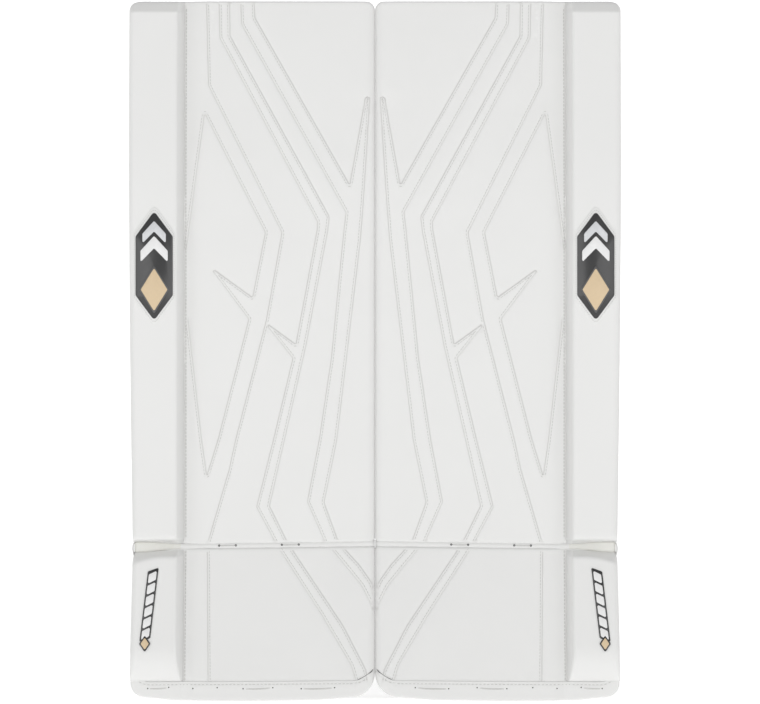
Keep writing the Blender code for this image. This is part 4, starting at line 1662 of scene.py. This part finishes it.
def wrap_row(name, z):
    """A line just off the outside of a wrap at this height, kept inside its rounded tip."""
    inset = out = 9.0 * MM
    path, low, high, tip, outside, _ = WRAPS[name]
    even = resample(path, 4.0 * MM)
    lengths = path_lengths(even)
    moved = even + left_normals(even) * outside * out
    row = []
    for (u, v), length in zip(moved, lengths):
        cut = tip_cut(lengths[-1] - length, tip)
        if low + cut + inset <= z <= high - cut - inset and inset < length < lengths[-1] - inset:
            row.append((u, v, z))
    return row


def add_wraps(filled):
    """The padded wraps. The outer ones cross a joint where they are sewn on, and are left in place
    without a body.
    """
    hinge = ((0.2650, 0.0455, 0.30), (0.2665, 0.0640, 0.30))
    for name, (_, _, _, _, outside, channels) in WRAPS.items():
        shape = filled[name].shape
        press_grooves(shape, 2, channels, 1.6 * MM, 2.6 * MM, wrap_outside(name))
        across = None
        if name != "inner_calf_wrap":
            across = (name.replace("outer_", ""), *hinge)
        tree = tree_of(shape)
        edge = tube(wrap_edge(name), 2.5 * MM, sides=10, closed=True, up=(0, 0, 1))
        rows = Shape()
        for z in channels:
            rows.join(surface_stitches(tree, wrap_row(name, z), about=(0, 0, outside)))
        add_pair(name, shape, "shin", [LEATHER, LINER], [name], across=across)
        add_pair(name + "_binding", edge, "shin", [BINDING], across=across)
        add_pair(name + "_stitching", rows, "shin", [THREAD], across=across)


def add_boot_wings(filled):
    """The sides of the boot: leather outside, liner towards the leg, and bound edges."""
    rows, trim = Shape(), Shape()
    for name, (u_inner, u_outer) in WING_U.items():
        shape = filled[name].shape
        towards_leg = 1 if u_inner < 0.1 else -1
        middle = (u_inner + u_outer) / 2
        repaint(shape, lambda middles, normals: ((middles[:, 0] - middle) * towards_leg > 0).astype(int))
        add_pair(name, shape, "boot", [LEATHER, LINER], [name])
        tree = tree_of(shape)
        loop = [(middle, v, z) for v, z in wing_outline(-6.0 * MM) if v > BACK + 0.003]
        spots, _ = hug(tree, resample(loop, 4.0 * MM), about=(-1, 0, 0))
        trim.join(tube(spots, 2.6 * MM, sides=10, up=(1, 0, 0)))
        off = middle - towards_leg * 12 * MM
        rows.join(
            surface_stitches(tree, [(off, v, z) for v, z in wing_outline(9.0 * MM) if v > BACK + 4 * MM])
        )
    add_pair("boot_wing_binding", trim, "boot", [BINDING])
    add_pair("boot_wing_stitching", rows, "boot", [THREAD])


# ---------------------------------------------------------------- the backs, the straps and the ring

def inset_loop(outline, inset):
    """A closed outline, made even and moved inwards."""
    even = resample(outline, 4.0 * MM, closed=True)
    return even + left_normals(even, closed=True) * inset


def add_back_panel(name, outline, body):
    """The nylon sheet over a pad's back, with its bound edge and two rows of stitching."""
    sheet_front, sheet_back = CORE_BACK + 0.3 * MM, BACK - 0.3 * MM
    panel = extrude_outline(inset_loop(outline, 1.8 * MM), sheet_front, sheet_back, 0.8 * MM)
    add_pair(name, panel, body, [NYLON], [name])
    edge = [(u, CORE_BACK + 0.9 * MM, z) for u, z in inset_loop(outline, 2.4 * MM)]
    binding = tube(edge, 1.9 * MM, sides=10, closed=True)
    add_pair(name + "_binding", binding, body, [BINDING])
    rows = Shape()
    for inset in (6.0 * MM, 10.5 * MM):
        line = resample(inset_loop(outline, inset), 4.5 * MM, closed=True)
        spots = [(u, sheet_back, z) for u, z in line]
        way = tangents(spots, closed=True)
        rows.join(capsule_row(spots, way, 3.0 * MM, 0.4 * MM, outs=[(0, 1, 0)] * len(spots)))
    add_pair(name + "_stitching", rows, body, [THREAD])


def offset_path(path, distance):
    """A path moved to its left by a distance."""
    path = np.asarray(path, float)
    return [tuple(p) for p in path + left_normals(path) * distance]


def strap_paths():
    """For each strap its path, low and high edge, rounded tip, body and how far along the buckle is."""
    gap = WRAP_HALF + 0.3 * MM + STRAP_HALF
    calf_lap = [
        (0.1250, 0.1681), (0.1180, 0.1668), (0.1040, 0.1610), (0.0850, 0.1562), (0.0620, 0.1535),
        (0.0480, 0.1510),
    ]
    calf = offset_path(OUTER_WRAP, -gap)[16:] + calf_lap
    knee_lap = [
        (0.2150, 0.1512), (0.1800, 0.1480), (0.1400, 0.1425), (0.1000, 0.1375), (0.0600, 0.1348),
        (0.0300, 0.1340),
    ]
    knee = offset_path(KNEE_WRAP, -gap)[13:] + knee_lap
    boot = [
        (0.2708, 0.0850), (0.2708, 0.1110), (0.2615, 0.1185), (0.2300, 0.1200), (0.1435, 0.1215),
        (0.0570, 0.1200), (0.0255, 0.1185), (0.0162, 0.1110), (0.0162, 0.0850),
    ]
    return {
        "upper_calf_strap": (calf, 0.3310, 0.3690, 0.010, "calf_wrap", 0.150),
        "lower_calf_strap": (calf, 0.2310, 0.2690, 0.010, "calf_wrap", 0.150),
        "knee_strap": (knee, 0.4800, 0.5180, 0.010, "knee_wrap", 0.075),
        "boot_strap": (smooth_path(boot, 4), 0.0500, 0.0820, 0.008, "boot", 0.205),
    }


def spot_on(path, at):
    """The point, direction and left normal at this length along a path."""
    path = np.asarray(path, float)
    lengths = path_lengths(path)
    point = np.array([np.interp(at, lengths, path[:, k]) for k in range(2)])
    ahead = np.array([np.interp(at + 1.0 * MM, lengths, path[:, k]) for k in range(2)])
    along = (ahead - point) / max(np.linalg.norm(ahead - point), 1e-9)
    return point, along, np.array((-along[1], along[0]))


def on_strap(path, at, lift, points):
    """Puts (along, across) points onto the right-hand side of a strap, this far off its middle line."""
    placed = []
    for along, z in points:
        point, _, normal = spot_on(path, at + along)
        spot = point - normal * lift
        placed.append((spot[0], spot[1], z))
    return placed


def buckle(path, at, low, high):
    """A plastic slider: a rounded frame round the strap with two bars across it."""
    z0, z1 = low - 3.0 * MM, high + 3.0 * MM
    reach = 13.0 * MM
    outline = [(-reach, z0, 4 * MM), (reach, z0, 4 * MM), (reach, z1, 4 * MM), (-reach, z1, 4 * MM)]
    frame_loop = resample(rounded(outline), 2.5 * MM, closed=True)
    made = tube(on_strap(path, at, 3.2 * MM, frame_loop), 1.9 * MM, sides=10, closed=True)
    for along in (-4.5 * MM, 4.5 * MM):
        bar = [(along, z0 + (z1 - z0) * k / 8) for k in range(9)]
        made.join(tube(on_strap(path, at, 3.6 * MM, bar), 1.6 * MM, sides=8))
    return made


def crossed_box(low, high):
    """A rectangle between two corners and its two diagonals, as three runs of stitching."""
    corners = [low, (high[0], low[1]), high, (low[0], high[1])]
    return [corners + [corners[0]], [corners[0], corners[2]], [corners[1], corners[3]]]


def box_stitch(path, at, low, high):
    """A stitched rectangle with its diagonals, as on the sewn end of a strap."""
    half = 13.0 * MM
    made = Shape()
    _, _, normal = spot_on(path, at)
    out = (-normal[0], -normal[1], 0.0)
    for run in crossed_box((-half, low + 4.0 * MM), (half, high - 4.0 * MM)):
        spots = on_strap(path, at, 1.35 * MM, resample(run, 3.6 * MM))
        made.join(capsule_row(spots, tangents(spots), 2.5 * MM, 0.4 * MM, outs=[out] * len(spots)))
    return made


def add_straps():
    """The webbing straps, each with its slider, its sewn end and its grip patch."""
    for name, (path, low, high, tip, body, buckle_at) in strap_paths().items():
        even = resample(path, 4.0 * MM)
        total = path_lengths(even)[-1]
        strap = band(even, 2.4 * MM, low, high, tip=tip, steps=10)
        add_pair(name, strap, body, [WEBBING], [name])
        slider = buckle(even, buckle_at, low, high)
        add_pair(name + "_buckle", slider, body, [BUCKLE_AND_SHADE], sharp=50)
        stitches = box_stitch(even, 20 * MM, low, high)
        if name == "boot_strap":
            stitches.join(box_stitch(even, total - 22 * MM, low, high))
        else:
            lengths = total - path_lengths(even)
            patch = [p for p, left in zip(even, lengths) if 12 * MM < left < 62 * MM]
            grip = band(offset_path(patch, -1.7 * MM), 1.2 * MM, low + 4 * MM, high - 4 * MM, steps=6)
            add_pair(name + "_grip", grip, body, [LINER])
        add_pair(name + "_stitching", stitches, body, [THREAD])


# The toe ring: its pin as (v, z), the wire's loop, and where it hangs across the pad.
RING_PIN = (0.0510, 0.0300)
RING_RADIUS = 11.0 * MM
RING_WIRE = 1.5 * MM
RING_U = 0.1390


def add_toe_ring():
    """The steel ring at the toe, in a webbing loop that is sewn to the boot's back with a patch."""
    pin_v, pin_z = RING_PIN
    inside = 3.8 * MM
    drop = [(pin_v - inside, pin_z + 22 * MM), (pin_v - inside, pin_z + 8 * MM)]
    bend = np.radians(np.linspace(180, 380, 21))
    path = drop + [(pin_v + inside * math.cos(a), pin_z + inside * math.sin(a)) for a in bend]
    loop = band(resample(path, 1.2 * MM), 1.5 * MM, 0.1352, 0.1428, crosswise)
    patch_low, patch_high = (0.1270, 0.0400), (0.1510, 0.0580)
    corners = [patch_low, (patch_high[0], patch_low[1]), patch_high, (patch_low[0], patch_high[1])]
    outline = rounded([(u, z, 2 * MM) for u, z in corners])
    sewn = BACK + 2.4 * MM
    loop.join(extrude_outline(outline, BACK - 0.5 * MM, sewn, 0.6 * MM))
    add_pair("toe_bridge", loop, "boot", [WEBBING], ["toe_bridge"])
    stitches = Shape()
    low = [side + 2 * MM for side in patch_low]
    high = [side - 2 * MM for side in patch_high]
    for run in crossed_box(low, high):
        spots = [(u, sewn, z) for u, z in resample(run, 3.2 * MM)]
        outs = [(0, 1, 0)] * len(spots)
        stitches.join(capsule_row(spots, tangents(spots), 2.3 * MM, 0.35 * MM, outs=outs))
    add_pair("toe_bridge_stitching", stitches, "boot", [THREAD])
    wire = [
        (RING_U + RING_RADIUS * math.sin(a), pin_v, pin_z - RING_RADIUS + RING_RADIUS * math.cos(a))
        for a in circle(72)
    ]
    ring = tube(wire, RING_WIRE, sides=16, closed=True)
    add_pair("toe_ring", ring, "toe_ring", [STEEL], ["toe_ring"])


def add_backs():
    """Everything behind the casings."""
    filled = all_cushions()
    fill_cushions(filled)
    add_block_cushions(filled)
    add_wraps(filled)
    add_boot_wings(filled)
    add_back_panel("shin_back", shin_outline(), "shin")
    add_back_panel("boot_liner", boot_outline(), "boot")
    add_straps()
    add_toe_ring()


def finish_cores():
    """The foam cores stay as they are, inside their casings."""
    for prefix in ("right", "left"):
        for part in ("boot_core", "shin_core"):
            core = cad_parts[f"{prefix}_{part}"]
            core.data.materials.clear()
            core.data.materials.append(FOAM)


# ---------------------------------------------------------------- the studio

# The camera stands square to the faces; the frame's width is measured at the faces' plane.
CAMERA_DISTANCE = 4.0
FRAME_WIDTH = 0.8668
CAMERA_X = 0.0057
CAMERA_Z = 0.3957
SENSOR = 36.0


def area_light(name, place_at, aim, size, power):
    """A rectangular softbox that points at a spot."""
    light = bpy.data.lights.new(name, "AREA")
    light.shape = "RECTANGLE"
    light.size, light.size_y = size
    light.energy = power
    obj = bpy.data.objects.new(name, light)
    obj.location = place_at
    obj.rotation_euler = (Vector(aim) - Vector(place_at)).to_track_quat("-Z", "Y").to_euler()
    bpy.context.scene.collection.objects.link(obj)


def plane(name, corners, brightness, glow):
    """A flat stage piece whose matt colour is helped by a little light of its own."""
    mesh = bpy.data.meshes.new(name)
    mesh.from_pydata(corners, [], [(0, 1, 2, 3)])
    n = Nodes(name)
    mottle = n.ramp(n.noise(0.8, 2.0), brightness - 0.01, brightness)
    colour = n.mix(mottle, (0.0, 0.0, 0.0), (1.0, 1.0, 1.0))
    n.set(Base_Color=colour, Roughness=0.9, Specular_IOR_Level=0.1)
    n.set(Emission_Color=(1.0, 1.0, 1.0), Emission_Strength=glow)
    mesh.materials.append(n.material)
    obj = bpy.data.objects.new(name, mesh)
    bpy.context.scene.collection.objects.link(obj)


def add_studio():
    """A white floor and backdrop under soft light from both sides."""
    far, wide, ground = 9.0, 14.0, -0.5 * MM
    floor = [(-wide, -wide, ground), (wide, -wide, ground), (wide, far, ground), (-wide, far, ground)]
    plane("studio_floor", floor, 0.92, 0.46)
    wall = [(-wide, far, ground), (wide, far, ground), (wide, far, far), (-wide, far, far)]
    plane("studio_backdrop", wall, 0.90, 0.45)
    world = bpy.data.worlds.new("studio_world")
    world.use_nodes = True
    background = world.node_tree.nodes["Background"]
    background.inputs["Color"].default_value = (1.0, 1.0, 1.0, 1.0)
    background.inputs["Strength"].default_value = 0.56
    bpy.context.scene.world = world
    target = (0.0, 0.0, 0.42)
    area_light("left_softbox", (-1.2, -3.1, 0.30), target, (1.5, 1.6), 17.4)
    area_light("right_softbox", (1.2, -3.1, 0.30), target, (1.5, 1.6), 15.8)
    area_light("floor_softbox", (0.0, 5.6, 3.4), (0.0, 5.6, 0.0), (7.0, 6.0), 40.0)


def add_camera():
    """The camera at the photo's viewing angle."""
    camera = bpy.data.cameras.new("photo_camera")
    camera.sensor_width = SENSOR
    camera.lens = SENSOR * CAMERA_DISTANCE / FRAME_WIDTH
    camera.clip_end = 100.0
    obj = bpy.data.objects.new("photo_camera", camera)
    obj.location = (CAMERA_X, FACE_Y - CAMERA_DISTANCE, CAMERA_Z)
    obj.rotation_euler = (math.pi / 2, 0, 0)
    bpy.context.scene.collection.objects.link(obj)
    bpy.context.scene.camera = obj


# ---------------------------------------------------------------- putting it together

add_faces()
add_rolls()
add_break_and_toe()
add_backs()
finish_cores()
add_studio()
add_camera()
bpy.context.scene.view_settings.view_transform = "Standard"
